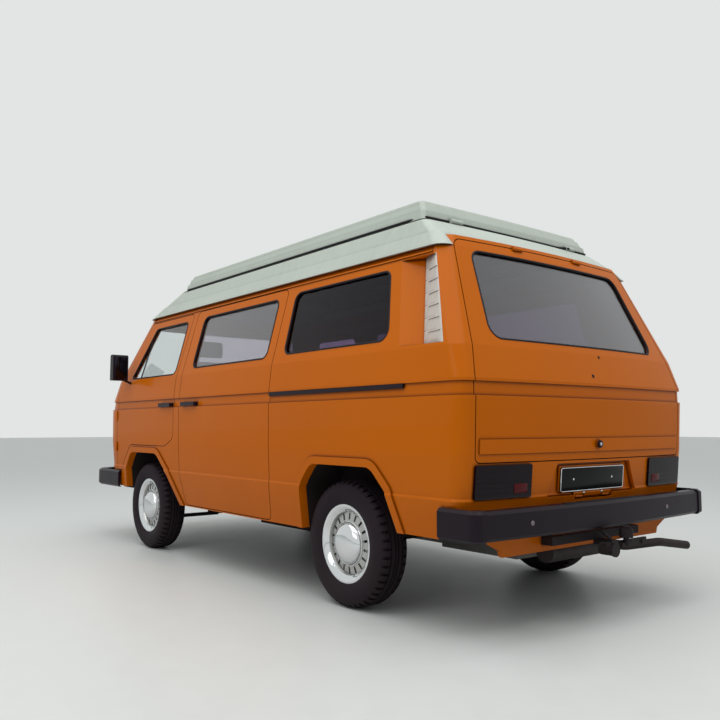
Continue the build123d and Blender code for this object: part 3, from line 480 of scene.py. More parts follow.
def plastic(
    name, color, lighter, rough_low, rough_high, grain=420.0, strength=0.2, dusty=0.0, shade_and_dirt_tone=None
):
    """Grained plastic or rubber with a clouded tone, and gaps darkened by painted shade and dirt
    where a tone for them is given.
    """
    material, tree, shader = new_material(name)
    grains = group_node(tree, GRAIN, Grain_Size=grain)
    tone = blend_colors(tree, grains.outputs["Tone"], color, lighter)
    if dusty:
        dirt = group_node(tree, DIRT, Low=0.1, High=0.9, Patch_Size=5.0)
        film = maths(tree, "MULTIPLY", dirt.outputs["Dirt"], dusty)
        tone = blend_colors(tree, film, tone, DIRTY_BROWN)
    if shade_and_dirt_tone:
        tone = gap_shade_and_dirt(tree, tone, shade_and_dirt_tone, PLASTIC_GAP)
    tree.links.new(tone, shader.inputs["Base Color"])
    rough = stretch(tree, grains.outputs["Tone"], rough_low, rough_high)
    tree.links.new(rough, shader.inputs["Roughness"])
    set_plain(shader, Specular_IOR_Level=0.16)
    bump(tree, shader, grains.outputs["Height"], strength, GRAIN_DEPTH)
    return material


def woven(name, color, lighter):
    """Upholstery cloth: threads that cross, over a clouded tone."""
    material, tree, shader = new_material(name)
    place = own_place(tree)
    weave = []
    for direction in ("X", "DIAGONAL"):
        wave = tree.nodes.new("ShaderNodeTexWave")
        wave.bands_direction = direction
        set_plain(wave, Scale=THREADS, Distortion=0.6)
        tree.links.new(place, wave.inputs["Vector"])
        weave.append(wave.outputs["Fac"])
    height = maths(tree, "MAXIMUM", *weave)
    mask = maths(tree, "MULTIPLY", height, noise(tree, place, 9.0, 4.0))
    tree.links.new(blend_colors(tree, mask, color, lighter), shader.inputs["Base Color"])
    set_plain(shader, Roughness=0.9, Specular_IOR_Level=0.15, Sheen_Weight=0.3)
    bump(tree, shader, height, 0.3, WEAVE_DEPTH)
    return material


def metal(name, color, rough_low, rough_high, metallic=1.0, scale=60.0, strength=0.05):
    """Bare or plated metal whose polish varies."""
    material, tree, shader = new_material(name)
    cloud = noise(tree, own_place(tree), scale, 4.0)
    darker = (*(value * DARKER for value in color[:3]), 1.0)
    tree.links.new(blend_colors(tree, cloud, color, darker), shader.inputs["Base Color"])
    tree.links.new(stretch(tree, cloud, rough_low, rough_high), shader.inputs["Roughness"])
    set_plain(shader, Metallic=metallic)
    bump(tree, shader, cloud, strength, PLATING_DEPTH)
    return material


def glass(name, color, rough=0.01, bend=1.45, mirror=0.0):
    """Solid tinted glass. Bend is its index, and mirror adds a skin that reflects more sky."""
    material, tree, shader = new_material(name)
    set_plain(
        shader, Base_Color=color, Transmission_Weight=1.0, IOR=bend, Coat_Weight=mirror,
        Coat_IOR=COAT_BEND, Coat_Roughness=COAT_BLUR,
    )
    smear = noise(tree, own_place(tree), 8.0, 4.0)
    tree.links.new(stretch(tree, smear, rough, rough + SMEAR), shader.inputs["Roughness"])
    return material


# %% [markdown]
# ## One finish for each kind of surface
# The frame's record says what each node is made of. A table from those kinds to finishes dresses
# all of them at once. Afterwards the few nodes that look different in the photograph get their
# own: the cab's clear panes, the grey vents, the paler gate window and the painted plate flap.

# %% Finish of each slot
MOULDED = {
    "rubber": ("black_rubber", shade(24, 22, 26), shade(38, 35, 40), 0.45, 0.7, 300.0),
    "underbody": (
        "underseal", shade(22, 17, 21), shade(40, 33, 34), 0.75, 0.95, 120.0, 0.5, 0.25,
    ),
    "black_trim": (
        "black_enamel", shade(22, 13, 22), shade(31, 20, 31), 0.28, 0.45, 300.0, 0.08,
    ),
    "lamp_red": ("smoked_lens", shade(16, 5, 14), shade(24, 8, 18), 0.1, 0.2, 40.0, 0.03),
    "chassis_steel": (
        "chassis_black", shade(20, 15, 21), shade(36, 28, 33), 0.45, 0.75, 200.0, 0.3, 0.12,
    ),
    "tyre": ("tyre_rubber", shade(22, 14, 23), shade(33, 24, 33), 0.55, 0.8, 260.0, 0.2, 0.1),
    "interior_plastic": ("dash_plastic", shade(34, 33, 36), shade(48, 46, 48), 0.5, 0.7),
    "cabinet_wood": (
        "cabinet_veneer", shade(150, 116, 74), shade(172, 138, 92), 0.4, 0.6, 60.0,
    ),
}
METALS = {
    "wheel_silver": ("silver_enamel", shade(190, 190, 188), 0.25, 0.42, 0.9),
    "engine_metal": ("cast_alloy", shade(120, 118, 114), 0.5, 0.75, 0.8, 30.0, 0.4),
    "exhaust_steel": ("exhaust_steel", shade(50, 40, 42), 0.45, 0.7, 0.6, 18.0, 0.3),
}
FINISH = {
    "body_paint": body_paint(),
    "roof_shell": roof_shell(),
    "glass": glass("tinted_glass", shade(104, 84, 118), 0.01, 1.24),
    "lamp_clear": glass("lamp_glass", shade(235, 238, 240)),
    "seat_fabric": woven("seat_cloth", shade(82, 68, 56), shade(128, 108, 88)),
    **{slot: plastic(*values) for slot, values in MOULDED.items()},
    **{slot: metal(*values) for slot, values in METALS.items()},
}
CHROME = metal("chrome_plate", shade(226, 228, 230), 0.03, 0.09, 1.0, 14.0, 0.01)
CAB_GLASS = glass("cab_glass", shade(236, 240, 240))
MIDDLE_GLASS = glass("middle_glass", shade(176, 168, 184), 0.01, 1.4, 1.0)
REAR_GLASS = glass("rear_glass", shade(142, 132, 152), 0.01, 1.4, 1.0)
# The vents' slots are darkened to a red-brown by how near other surfaces are: painted shade, with
# some dirt.
VENT_GREY = plastic(
    "vent_plastic", shade(196, 190, 184), shade(210, 204, 196), 0.4, 0.6, 200.0, 0.1,
    shade_and_dirt_tone=shade(72, 42, 36),
)
FLOOR_GREY = plastic(
    "studio_floor", shade(206, 208, 206), shade(212, 214, 212), 0.35, 0.5, 30.0, 0.02
)
print("finishes", len(FINISH))

# %% Dress the nodes
OWN_FINISH = {
    "windscreen": CAB_GLASS, "door_glass_left": CAB_GLASS, "door_glass_right": CAB_GLASS,
    "tailgate_glass": REAR_GLASS, "pillar_vents": VENT_GREY, "plate_flap": FINISH["body_paint"],
}
MIDDLE_PANES_END = 0.55
for name, node in nodes.items():
    node.data.materials.clear()
    node.data.materials.append(OWN_FINISH.get(name, FINISH[slots[name]]))
side_panes = nodes["side_glass"].data
side_panes.materials.append(MIDDLE_GLASS)
for face in side_panes.polygons:
    face.material_index = int(face.center.y < MIDDLE_PANES_END)
floor.data.materials.append(FLOOR_GREY)
print("dressed nodes", len(nodes))

# %% [markdown]
# ## Making pieces
# A new piece is a bmesh that becomes a mesh, gets its finish, and rides on a body of the frame.
# Faces are shaded smooth, and edges sharper than a limit stay sharp, as on a pressed part.
# Pieces that sit on a panel are set down where a straight line meets it, which is surer than
# numbers typed in, because the panels are bent.

# %% Piece helpers
LEFT, RIGHT = Vector((1, 0, 0)), Vector((-1, 0, 0))
BACK, AHEAD, UP = Vector((0, 1, 0)), Vector((0, -1, 0)), Vector((0, 0, 1))
SHARP_ANGLE = math.radians(34)
WELD, BEAD_WELD, KNOB_WELD = 0.00002, 0.00005, 0.00001
FAR = 3.0


def finish_piece(name, shape, material, body):
    """Turns a bmesh into a piece that rides on a body."""
    bmesh.ops.recalc_face_normals(shape, faces=shape.faces)
    for face in shape.faces:
        face.smooth = True
    for edge in shape.edges:
        if len(edge.link_faces) == 2:
            edge.smooth = edge.calc_face_angle(0.0) < SHARP_ANGLE
    mesh = bpy.data.meshes.new(name)
    shape.to_mesh(mesh)
    shape.free()
    mesh.materials.append(material)
    piece = bpy.data.objects.new(name, mesh)
    scene.collection.objects.link(piece)
    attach(piece, body)
    return piece


def merged(node):
    """A bmesh copy of a frame node with its doubled points merged."""
    shape = bmesh.new()
    shape.from_mesh(nodes[node].data)
    bmesh.ops.remove_doubles(shape, verts=shape.verts, dist=WELD)
    return shape


def skin_of(node):
    """A search tree over a frame node, to find where its surface lies."""
    shape = merged(node)
    tree = BVHTree.FromBMesh(shape)
    shape.free()
    return tree


def touch(skin, start, aim):
    """Where a straight line from a point meets a surface, and the way that the surface faces."""
    place, normal, _, _ = skin.ray_cast(Vector(start), aim)
    return place, normal


def from_behind(skin, x, z):
    """Where a line from behind the van meets a surface."""
    return touch(skin, (x, FAR, z), AHEAD)


def from_ahead(skin, x, z):
    """Where a line from ahead of the van meets a surface."""
    return touch(skin, (x, -FAR, z), BACK)


def from_side(skin, side, y, z):
    """Where a level line from one side of the van meets a surface."""
    return touch(skin, (side * FAR, y, z), RIGHT if side > 0 else LEFT)


def seat(shape, place, normal):
    """Turns a shape so that its Z leaves the surface, and sets it down there."""
    across = UP.cross(normal).normalized()
    turn = Matrix((across, normal.cross(across), normal)).transposed().to_4x4()
    bmesh.ops.transform(shape, matrix=Matrix.Translation(place) @ turn, verts=shape.verts)


def seated_piece(name, shape, spot, material, body):
    """Sets a shape down on a spot that a line has met, and makes it a piece."""
    seat(shape, *spot)
    return finish_piece(name, shape, material, body)


def even(first, last, parts):
    """Numbers from first to last in equal steps."""
    return [first + (last - first) * i / parts for i in range(parts + 1)]


# %% [markdown]
# ## Four basic shapes
# Nearly all trim comes from four shapes: a round bead along a path, a plate with round corners,
# a turned knob, and a bent pane with smooth shading. A curve gives the bead its even thickness
# round every corner, and the other shapes are bmesh operators on a few points.

# %% Shape helpers
CORNER_STEPS, KNOB_STEPS = 5, 28
CORNERS = [(-0.5, -0.5), (0.5, -0.5), (0.5, 0.5), (-0.5, 0.5)]


def bead(name, ring, radius, material, body, closed=True):
    """A round bead that follows a ring of points."""
    data = bpy.data.curves.new(name + "_path", "CURVE")
    data.dimensions = "3D"
    data.bevel_depth = radius
    data.bevel_resolution = 3
    data.use_fill_caps = not closed
    spline = data.splines.new("POLY")
    spline.points.add(len(ring) - 1)
    for point, place in zip(spline.points, ring):
        point.co = (*place, 1.0)
    spline.use_cyclic_u = closed
    holder = bpy.data.objects.new(name + "_path", data)
    mesh = bpy.data.meshes.new_from_object(holder)
    bpy.data.objects.remove(holder)
    shape = bmesh.new()
    shape.from_mesh(mesh)
    bpy.data.meshes.remove(mesh)
    bmesh.ops.remove_doubles(shape, verts=shape.verts, dist=BEAD_WELD)
    return finish_piece(name, shape, material, body)


def rounded_plate(width, height, thick, corner, soft=0.0):
    """A plate with round corners that stands on Z 0, with a softened upper edge."""
    shape = bmesh.new()
    shape.faces.new([shape.verts.new((x * width, y * height, 0)) for x, y in CORNERS])
    bmesh.ops.bevel(
        shape, geom=shape.verts[:], offset=corner, segments=CORNER_STEPS, profile=0.5,
        affect="VERTICES",
    )
    grown = bmesh.ops.extrude_face_region(shape, geom=shape.faces[:])
    lifted = [item for item in grown["geom"] if isinstance(item, bmesh.types.BMVert)]
    bmesh.ops.translate(shape, vec=(0, 0, thick), verts=lifted)
    if soft:
        rim = [edge for edge in shape.edges if all(v.co.z > thick * 0.99 for v in edge.verts)]
        bmesh.ops.bevel(shape, geom=rim, offset=soft, segments=2, profile=0.5, affect="EDGES")
    return shape


def spun(section, centre, axis, steps, weld):
    """A row of points, spun about an axis through a centre."""
    shape = bmesh.new()
    made = [shape.verts.new(point) for point in section]
    edges = [shape.edges.new(pair) for pair in zip(made, made[1:])]
    bmesh.ops.spin(
        shape, geom=made + edges, cent=centre, axis=axis, angle=math.tau, steps=steps,
        use_merge=True,
    )
    bmesh.ops.remove_doubles(shape, verts=shape.verts, dist=weld)
    return shape


def knob(section, steps=KNOB_STEPS):
    """A small turned piece: a section of radius and height, spun about Z."""
    points = [(radius, 0, height) for radius, height in section]
    return spun(points, (0, 0, 0), (0, 0, 1), steps, KNOB_WELD)


def smooth_pane(node, body, material):
    """A copy of a bent pane whose wide faces are shaded as one curve, in the node's place."""
    piece = finish_piece(node + "_bent", merged(node), material, body)
    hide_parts(node)


# %% [markdown]
# ## Window rubbers
# Each pane of such a van sits in a thick black rubber that grips both the glass and the edge of
# the metal. It could be cut from the panel, but it is easier to read the rim of the pane itself
# and to lay a round bead along it, lifted almost to the level of the panel. The two large panes
# are bent, so copies with smooth shading stand in for them.

# %% Window rubbers
RUBBER_RADIUS, RUBBER_LIFT = 0.0062, 0.009
FLAT_FACING, BENT_FACING = 0.75, 0.3


def outline_of(node, facing, least, chosen):
    """The rim of the pane that faces outwards, as a closed ring of points."""
    shape = merged(node)
    others = [
        face for face in shape.faces
        if face.normal.dot(facing) < least or not chosen(face.calc_center_median())
    ]
    bmesh.ops.delete(shape, geom=others, context="FACES")
    rim = [edge for edge in shape.edges if len(edge.link_faces) == 1]
    here, left = rim[0].verts[0], set(rim)
    ring = []
    while left:
        edge = [e for e in here.link_edges if e in left][0]
        left.remove(edge)
        ring.append(here.co.copy())
        here = edge.other_vert(here)
    shape.free()
    return ring


def whole(point):
    """Chooses every pane of a node."""
    return True


def side_pane(side, in_middle):
    """Chooses one of the four side panes by where its points lie."""
    return lambda point: point.x * side > 0 and (point.y < MIDDLE_PANES_END) == in_middle


PANES = [
    ("rubber_slider", "side_glass", LEFT, FLAT_FACING, side_pane(1, True), "body"),
    ("rubber_middle", "side_glass", RIGHT, FLAT_FACING, side_pane(-1, True), "body"),
    ("rubber_rear_left", "side_glass", LEFT, FLAT_FACING, side_pane(1, False), "body"),
    ("rubber_rear_right", "side_glass", RIGHT, FLAT_FACING, side_pane(-1, False), "body"),
    ("rubber_door_left", "door_glass_left", LEFT, FLAT_FACING, whole, "front_door_left"),
    ("rubber_door_right", "door_glass_right", RIGHT, FLAT_FACING, whole, "front_door_right"),
    ("rubber_gate", "tailgate_glass", BACK, FLAT_FACING, whole, "rear_gate"),
    ("rubber_screen", "windscreen", AHEAD, BENT_FACING, whole, "body"),
]
for name, node, facing, least, chosen, body in PANES:
    ring = [point + facing * RUBBER_LIFT for point in outline_of(node, facing, least, chosen)]
    bead(name, ring, RUBBER_RADIUS, FINISH["rubber"], body)
    print(name, len(ring), "points")
smooth_pane("tailgate_glass", "rear_gate", REAR_GLASS)
smooth_pane("windscreen", "body", CAB_GLASS)

# %% [markdown]
# ## Tyres
# A tyre is a turned shape: one half section, spun about the axle. The grooves that run round it
# are in the section. The cross cuts are made after the spin, by pushing in every third face of
# the tread's outer rows.

# %% Tyres
TYRE_SECTION = [
    (-0.0655, 0.1846), (-0.0680, 0.1985), (-0.0780, 0.2030), (-0.0868, 0.2200), (-0.0925, 0.2480),
    (-0.0922, 0.2680), (-0.0880, 0.2860), (-0.0800, 0.3020), (-0.0690, 0.3145), (-0.0560, 0.3195),
    (-0.0400, 0.3210), (-0.0385, 0.3140), (-0.0325, 0.3140), (-0.0310, 0.3214), (-0.0130, 0.3220),
    (-0.0115, 0.3145), (-0.0055, 0.3145), (-0.0040, 0.3220),
]
WHOLE_SECTION = TYRE_SECTION + [(-x, radius) for x, radius in reversed(TYRE_SECTION)]
TYRE_STEPS, CUT_EVERY, CUT_DEPTH = 144, 3, 0.006
SHOULDER_INNER, SHOULDER_OUTER, SHOULDER_RADIUS = 0.042, 0.075, 0.305


def turned(section, centre, steps):
    """A section of offset and radius, spun about a wheel's axle."""
    side = 1 if centre.x > 0 else -1
    points = [(centre.x + side * x, centre.y, centre.z + radius) for x, radius in section]
    return spun(points, centre, (1, 0, 0), steps, WELD)


def is_cut(face, centre):
    """Tells whether a face of the tread's shoulder is pushed in."""
    middle = face.calc_center_median() - centre
    angle = math.atan2(middle.z, middle.y) % math.tau
    on_shoulder = SHOULDER_INNER < abs(middle.x) < SHOULDER_OUTER
    high_enough = math.hypot(middle.y, middle.z) > SHOULDER_RADIUS
    return on_shoulder and high_enough and int(angle / math.tau * TYRE_STEPS) % CUT_EVERY == 0


def face_outwards(piece, centre):
    """Turns a shell right side out, since the walls of its cuts can mislead the operator."""
    faces = piece.data.polygons
    if sum((face.center - centre).dot(face.normal) * face.area for face in faces) < 0:
        piece.data.flip_normals()


for place, centre in WHEELS.items():
    shape = turned(WHOLE_SECTION, centre, TYRE_STEPS)
    cuts = [face for face in shape.faces if is_cut(face, centre)]
    for face in bmesh.ops.extrude_discrete_faces(shape, faces=cuts)["faces"]:
        middle = face.calc_center_median()
        outward = Vector((0, middle.y - centre.y, middle.z - centre.z)).normalized()
        bmesh.ops.translate(shape, vec=outward * -CUT_DEPTH, verts=face.verts)
    print("tyre", place, "with", len(cuts), "cuts")
    piece = finish_piece("tyre_skin_" + place, shape, FINISH["tyre"], "wheel_" + place)
    face_outwards(piece, centre)
    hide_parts("tyre_" + place)

# %% [markdown]
# ## Chrome on the wheels
# The steel wheel carries two bright pieces: a trim ring on the rim's edge and a domed cap over
# the bolts. Both are turned shapes too.

# %% Trim rings and caps
DISC = 0.046
CAP_SECTION = [
    (DISC + 0.0020, 0.1130), (DISC + 0.0060, 0.1125), (DISC + 0.0080, 0.1090),
    (DISC + 0.0160, 0.1060), (DISC + 0.0260, 0.0985), (DISC + 0.0350, 0.0850),
    (DISC + 0.0410, 0.0660), (DISC + 0.0445, 0.0420), (DISC + 0.0460, 0.0180),
    (DISC + 0.0463, 0.0),
]
RING_SECTION = [
    (0.0555, 0.1620), (0.0600, 0.1680), (0.0690, 0.1780), (0.0735, 0.1880), (0.0750, 0.1950),
    (0.0745, 0.1995), (0.0700, 0.2010), (0.0690, 0.1985),
]
CHROME_STEPS = 72
for place, centre in WHEELS.items():
    for label, section in (("cap_", CAP_SECTION), ("trim_ring_", RING_SECTION)):
        shape = turned(section, centre, CHROME_STEPS)
        finish_piece(label + place, shape, CHROME, "wheel_" + place)
print("caps and rings on", len(WHEELS), "wheels")

# %% [markdown]
# ## Number plate
# The plate is bare black with a silver rim, and two screws hold it. It lies on a flap that folds
# down, so all of it rides on that flap. The rim is a thin bead along the plate's own front edge.

# %% Number plate
PLATE_BLACK = plastic(
    "plate_black", shade(12, 11, 14), shade(18, 17, 20), 0.16, 0.28, 50.0, 0.02
)
PLATE_WIDE, PLATE_TALL, PLATE_THICK, PLATE_CORNER = 0.520, 0.112, 0.0022, 0.009
PLATE_Z, PLATE_LIFT, PLATE_SOFT, RIM_RADIUS = 0.668, 0.001, 0.0006, 0.0022
SCREW_HEAD = [(0.0060, 0.0), (0.0058, 0.0012), (0.0040, 0.0024), (0.0, 0.0030)]
SCREW_X, SCREW_LIFT = 0.16, PLATE_THICK + 0.0005
FLAP_BOLT_X, FLAP_BOLT_Z, FLAP_BOLT_SCALE = 0.075, 0.598, 1.3
flap_skin = skin_of("plate_flap")
plate_spot = from_behind(flap_skin, 0, PLATE_Z)


def on_plate(shape, x, lift):
    """Sets a shape down on the number plate, x counted from its middle."""
    bmesh.ops.translate(shape, vec=(x, 0, lift), verts=shape.verts)
    seat(shape, *plate_spot)
    return shape


def plate_shape(soft=0.0):
    """The plate itself, in its place."""
    return on_plate(
        rounded_plate(PLATE_WIDE, PLATE_TALL, PLATE_THICK, PLATE_CORNER, soft), 0, PLATE_LIFT
    )


finish_piece("number_plate", plate_shape(PLATE_SOFT), PLATE_BLACK, "plate_holder")
rim_shape = plate_shape()
front_face = max(rim_shape.faces, key=lambda face: face.calc_area() * (face.normal.y > 0))
rim = [v.co.copy() for v in front_face.verts]
rim_shape.free()
bead("plate_rim", rim, RIM_RADIUS, CHROME, "plate_holder")
for word, side in reversed(SIDES):
    head = on_plate(knob(SCREW_HEAD), side * SCREW_X, SCREW_LIFT)
    finish_piece("plate_screw_" + word, head, CHROME, "plate_holder")
    bolt = knob([(r * FLAP_BOLT_SCALE, h * FLAP_BOLT_SCALE) for r, h in SCREW_HEAD])
    spot = from_behind(flap_skin, side * FLAP_BOLT_X, FLAP_BOLT_Z)
    seated_piece("flap_bolt_" + word, bolt, spot, CHROME, "plate_holder")
print("plate stands at", [round(v, 3) for v in plate_spot[0]])

# %% [markdown]
# ## Tail lamps
# The smoked lenses are parted by one raised line and ribbed by four finer ones, with a red
# reflector low down near the inner end. The lenses bend round the corner of the van, so each
# line is a bead through points found on the lens itself.

# %% Tail lamps
LENS_FRAME = plastic("lens_frame", shade(10, 5, 10), shade(16, 9, 16), 0.25, 0.4)
REFLECTOR_RED = plastic(
    "reflector_red", shade(74, 6, 16), shade(100, 10, 20), 0.08, 0.18, 600.0, 0.3
)
LENS_INNER, LENS_OUTER, LENS_PARTS = 0.500, 0.826, 8
SPLIT_Z, SPLIT_RADIUS = 0.677, 0.0022
RIB_HEIGHTS, RIB_RADIUS = (0.630, 0.652, 0.699, 0.723), 0.0009
REFLECTOR_X, REFLECTOR_Z = LENS_INNER + 0.062, 0.646
REFLECTOR_PLATE = (0.085, 0.042, 0.0022, 0.005, 0.0008)
lamp_skin = skin_of("tail_lamps")


def lens_line(name, side, z, radius):
    """A raised line across a tail lamp."""
    steps = even(side * LENS_INNER, side * LENS_OUTER, LENS_PARTS)
    feet = [from_behind(lamp_skin, x, z)[0] for x in steps]
    bead(name, feet, radius, LENS_FRAME, "body", closed=False)


for word, side in reversed(SIDES):
    lens_line("lens_split_" + word, side, SPLIT_Z, SPLIT_RADIUS)
    for index, z in enumerate(RIB_HEIGHTS):
        lens_line("lens_rib_%s_%d" % (word, index), side, z, RIB_RADIUS)
    spot = from_behind(lamp_skin, side * REFLECTOR_X, REFLECTOR_Z)
    red = rounded_plate(*REFLECTOR_PLATE)
    seated_piece("reflector_" + word, red, spot, REFLECTOR_RED, "body")
print("lines on each lens", 1 + len(RIB_HEIGHTS))

# %% [markdown]
# ## Rear bumper
# Two zinc-plated bolt heads show on the bumper's face. They stand unevenly, as they do in the
# photograph. A ribbed rubber pad on top gives a foothold, and its ribs are copies of one narrow
# plate.

# %% Bumper bolts and step pad
BOLT_ZINC = metal("zinc_plate", shade(128, 118, 122), 0.3, 0.5, 0.9, 90.0, 0.1)
BUMPER_BOLTS, BOLT_Z = {"left": 0.597, "right": -0.500}, 0.503
BOLT_HEAD = [(0.0115, 0.0), (0.0112, 0.0016), (0.0085, 0.0040), (0.0040, 0.0054), (0.0, 0.0058)]
PAD_WIDE, PAD_DEEP, PAD_RIBS, RIB_PITCH = 0.64, 0.032, 5, 0.006
PAD_PLATE = (PAD_WIDE, PAD_DEEP, 0.0025, 0.006, 0.0008)
RIB_PLATE = (PAD_WIDE - 0.02, 0.0028, 0.0045, 0.0012, 0.0006)
PAD_X, PAD_BACK = 0.02, 0.0335
bumper_skin = skin_of("rear_bumper")
for word, _ in reversed(SIDES):
    spot = from_behind(bumper_skin, BUMPER_BOLTS[word], BOLT_Z)
    seated_piece("bumper_bolt_" + word, knob(BOLT_HEAD), spot, BOLT_ZINC, "body")

bumper_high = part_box("rear_bumper")[1]
pad = rounded_plate(*PAD_PLATE)
for index in range(PAD_RIBS):
    rib = rounded_plate(*RIB_PLATE)
    bmesh.ops.translate(rib, vec=(0, (index - (PAD_RIBS - 1) / 2) * RIB_PITCH, 0), verts=rib.verts)
    spare = bpy.data.meshes.new("rib")
    rib.to_mesh(spare)
    rib.free()
    pad.from_mesh(spare)
    bpy.data.meshes.remove(spare)
bmesh.ops.translate(pad, vec=(PAD_X, bumper_high.y - PAD_BACK, bumper_high.z), verts=pad.verts)
finish_piece("step_pad", pad, FINISH["rubber"], "body")
print("bumper bolts at x", BUMPER_BOLTS, "ribs on the pad", PAD_RIBS)

# %% [markdown]
# ## Gate lock and plugs
# The gate closes with a push lock: a black ring with a chrome barrel in it. Two rubber plugs
# fill old holes under the rear window. All are small turned pieces that ride on the gate.

# %% Gate lock and plugs
LOCK_Z = 0.836
LOCK_RING = [
    (0.0185, -0.0060), (0.0190, 0.0005), (0.0175, 0.0040), (0.0120, 0.0048), (0.0110, 0.0016),
    (0.0, 0.0012),
]
LOCK_BARREL = [(0.0082, 0.0), (0.0082, 0.0050), (0.0070, 0.0060), (0.0, 0.0062)]
LOCK_PIECES = [
    ("gate_lock_ring", LOCK_RING, FINISH["black_trim"], "black_trim"),
    ("gate_lock_barrel", LOCK_BARREL, CHROME, "wheel_silver"),
]
PLUG_SECTION = [(1.0, 0.0), (0.95, 0.0022), (0.5, 0.0034), (0.0, 0.0036)]
PLUGS, PLUG_STEPS = [(0.011, 1.172, 0.009), (-0.088, 1.273, 0.007)], 16
gate_skin = skin_of("tailgate")
for name, section, material, slot in LOCK_PIECES:
    spot = from_behind(gate_skin, 0, LOCK_Z)
    seated_piece(name, knob(section), spot, material, "rear_gate")
for index, (x, z, radius) in enumerate(PLUGS):
    plug = knob([(radius * share, height) for share, height in PLUG_SECTION], PLUG_STEPS)
    spot = from_behind(gate_skin, x, z)
    seated_piece("gate_plug_%d" % index, plug, spot, FINISH["rubber"], "rear_gate")
print("gate pieces", len(LOCK_PIECES) + len(PLUGS))

# %% [markdown]
# ## Lip under the lid
# A rubber lip seals the lifting lid against the fixed roof. It shows as a thin dark line between
# the two. A bead round three sides of the lid follows its slanted wall, and it rises with it.

# %% Lip under the lid
LIP_HEIGHT, LIP_HALF, LIP_RADIUS = 1.9755, 0.655, 0.0065
LIP_FRONT_GAP, LIP_REAR_GAP, LIP_SIDE_PARTS, LIP_REAR_PARTS = 0.06, 0.035, 24, 20
lid_skin = skin_of("roof_lid")
lid_low, lid_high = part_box("roof_lid")
along_lid = even(lid_low.y + LIP_FRONT_GAP, lid_high.y - LIP_REAR_GAP, LIP_SIDE_PARTS)
across_lid = even(LIP_HALF, -LIP_HALF, LIP_REAR_PARTS)
lip = [from_side(lid_skin, 1, y, LIP_HEIGHT)[0] for y in along_lid]
lip += [from_behind(lid_skin, x, LIP_HEIGHT)[0] for x in across_lid]
lip += [from_side(lid_skin, -1, y, LIP_HEIGHT)[0] for y in reversed(along_lid)]
bead(
    "lid_lip", lip, LIP_RADIUS, FINISH["rubber"], "lifting_lid", closed=False,
)
print("lip", len(lip), "points")

# %% [markdown]
# ## Doors and mirrors
# The front doors carry a slim black post that parts the quarter light from the window, and a
# mirror glass that faces back. Both ride on their door, so they swing out with it.

# %% Quarter-light posts and mirror glass
POST = [(-0.157, 1.303), (-0.148, 1.39), (-0.138, 1.48), (-0.129, 1.57), (-0.126, 1.60)]
POST_RADIUS, POST_LIFT = 0.0055, 0.002
# The mirror glass is far darker than a real mirror: its dim tone is a painted dark reflection.
MIRROR_GLASS = metal("mirror_glass", shade(46, 42, 50), 0.04, 0.1, 1.0, 6.0, 0.01)
MIRROR_X, MIRROR_Z = 1.006, 1.389
MIRROR_PLATE = (0.100, 0.176, 0.0012, 0.016, 0.0005)
for word, side in SIDES:
    pane = skin_of("door_glass_" + word)
    lift = Vector((side * POST_LIFT, 0, 0))
    feet = [from_side(pane, side, FRONT_AXLE + y, z)[0] + lift for y, z in POST]
    door = "front_door_" + word
    bead(
        "quarter_post_" + word, feet, POST_RADIUS, FINISH["rubber"], door, closed=False,
    )
    spot = touch(skin_of("door_trim_" + word), (side * MIRROR_X, 0.0, MIRROR_Z), AHEAD)
    face = rounded_plate(*MIRROR_PLATE)
    seated_piece("mirror_glass_" + word, face, spot, MIRROR_GLASS, door)
print("posts and mirrors on", len(SIDES), "doors")

# %% [markdown]
# ## Wipers
# Both wipers rest low on the screen. The blade is a bead just off the glass, and the arm is a
# thinner bead that starts at a domed pivot and stands off until it meets the blade's middle.

# %% Wipers
WIPERS = {
    "left": ((0.60, 1.345), (0.10, 1.375), (0.62, 1.325)),
    "right": ((-0.08, 1.345), (-0.60, 1.360), (-0.06, 1.325)),
}
BLADE_LIFT, ARM_LIFT = Vector((0, -0.014, 0.004)), Vector((0, -0.026, 0.006))
BLADE_RADIUS, ARM_RADIUS, BLADE_PARTS = 0.006, 0.0045, 12
FOOT_SHARE, ELBOW_SHARE = 0.4, 0.9
PIVOT, PIVOT_STEPS = [(0.017, -0.012), (0.017, 0.006), (0.012, 0.012), (0.0, 0.014)], 20
screen_skin = skin_of("windscreen")
for word, (inner, outer, foot) in WIPERS.items():
    rows = zip(*(even(start, end, BLADE_PARTS) for start, end in zip(inner, outer)))
    on_glass = [from_ahead(screen_skin, x, z)[0] for x, z in rows]
    blade = [place + BLADE_LIFT for place in on_glass]
    bead(
        "wiper_blade_" + word, blade, BLADE_RADIUS, FINISH["rubber"], "body",
        closed=False,
    )
    foot_place, foot_facing = from_ahead(screen_skin, *foot)
    foot_place = foot_place + ARM_LIFT * FOOT_SHARE
    arm = [
        foot_place, on_glass[2] + ARM_LIFT, on_glass[5] + ARM_LIFT * ELBOW_SHARE,
        on_glass[6] + BLADE_LIFT,
    ]
    black = FINISH["black_trim"]
    bead("wiper_arm_" + word, arm, ARM_RADIUS, black, "body", closed=False)
    pivot = knob(PIVOT, PIVOT_STEPS)
    seated_piece(
        "wiper_pivot_" + word, pivot, (foot_place, foot_facing), black, "body"
    )
print("wipers", list(WIPERS))

# %% [markdown]
# ## Head lamps
# One node holds both head lamps and both turn lamps. Its faces are told apart by where they
# lie: the low block is amber, the drum behind the lens is a mirror, and the lens is clear. The
# upright flutes that spread the beam are thin beads of the same glass.

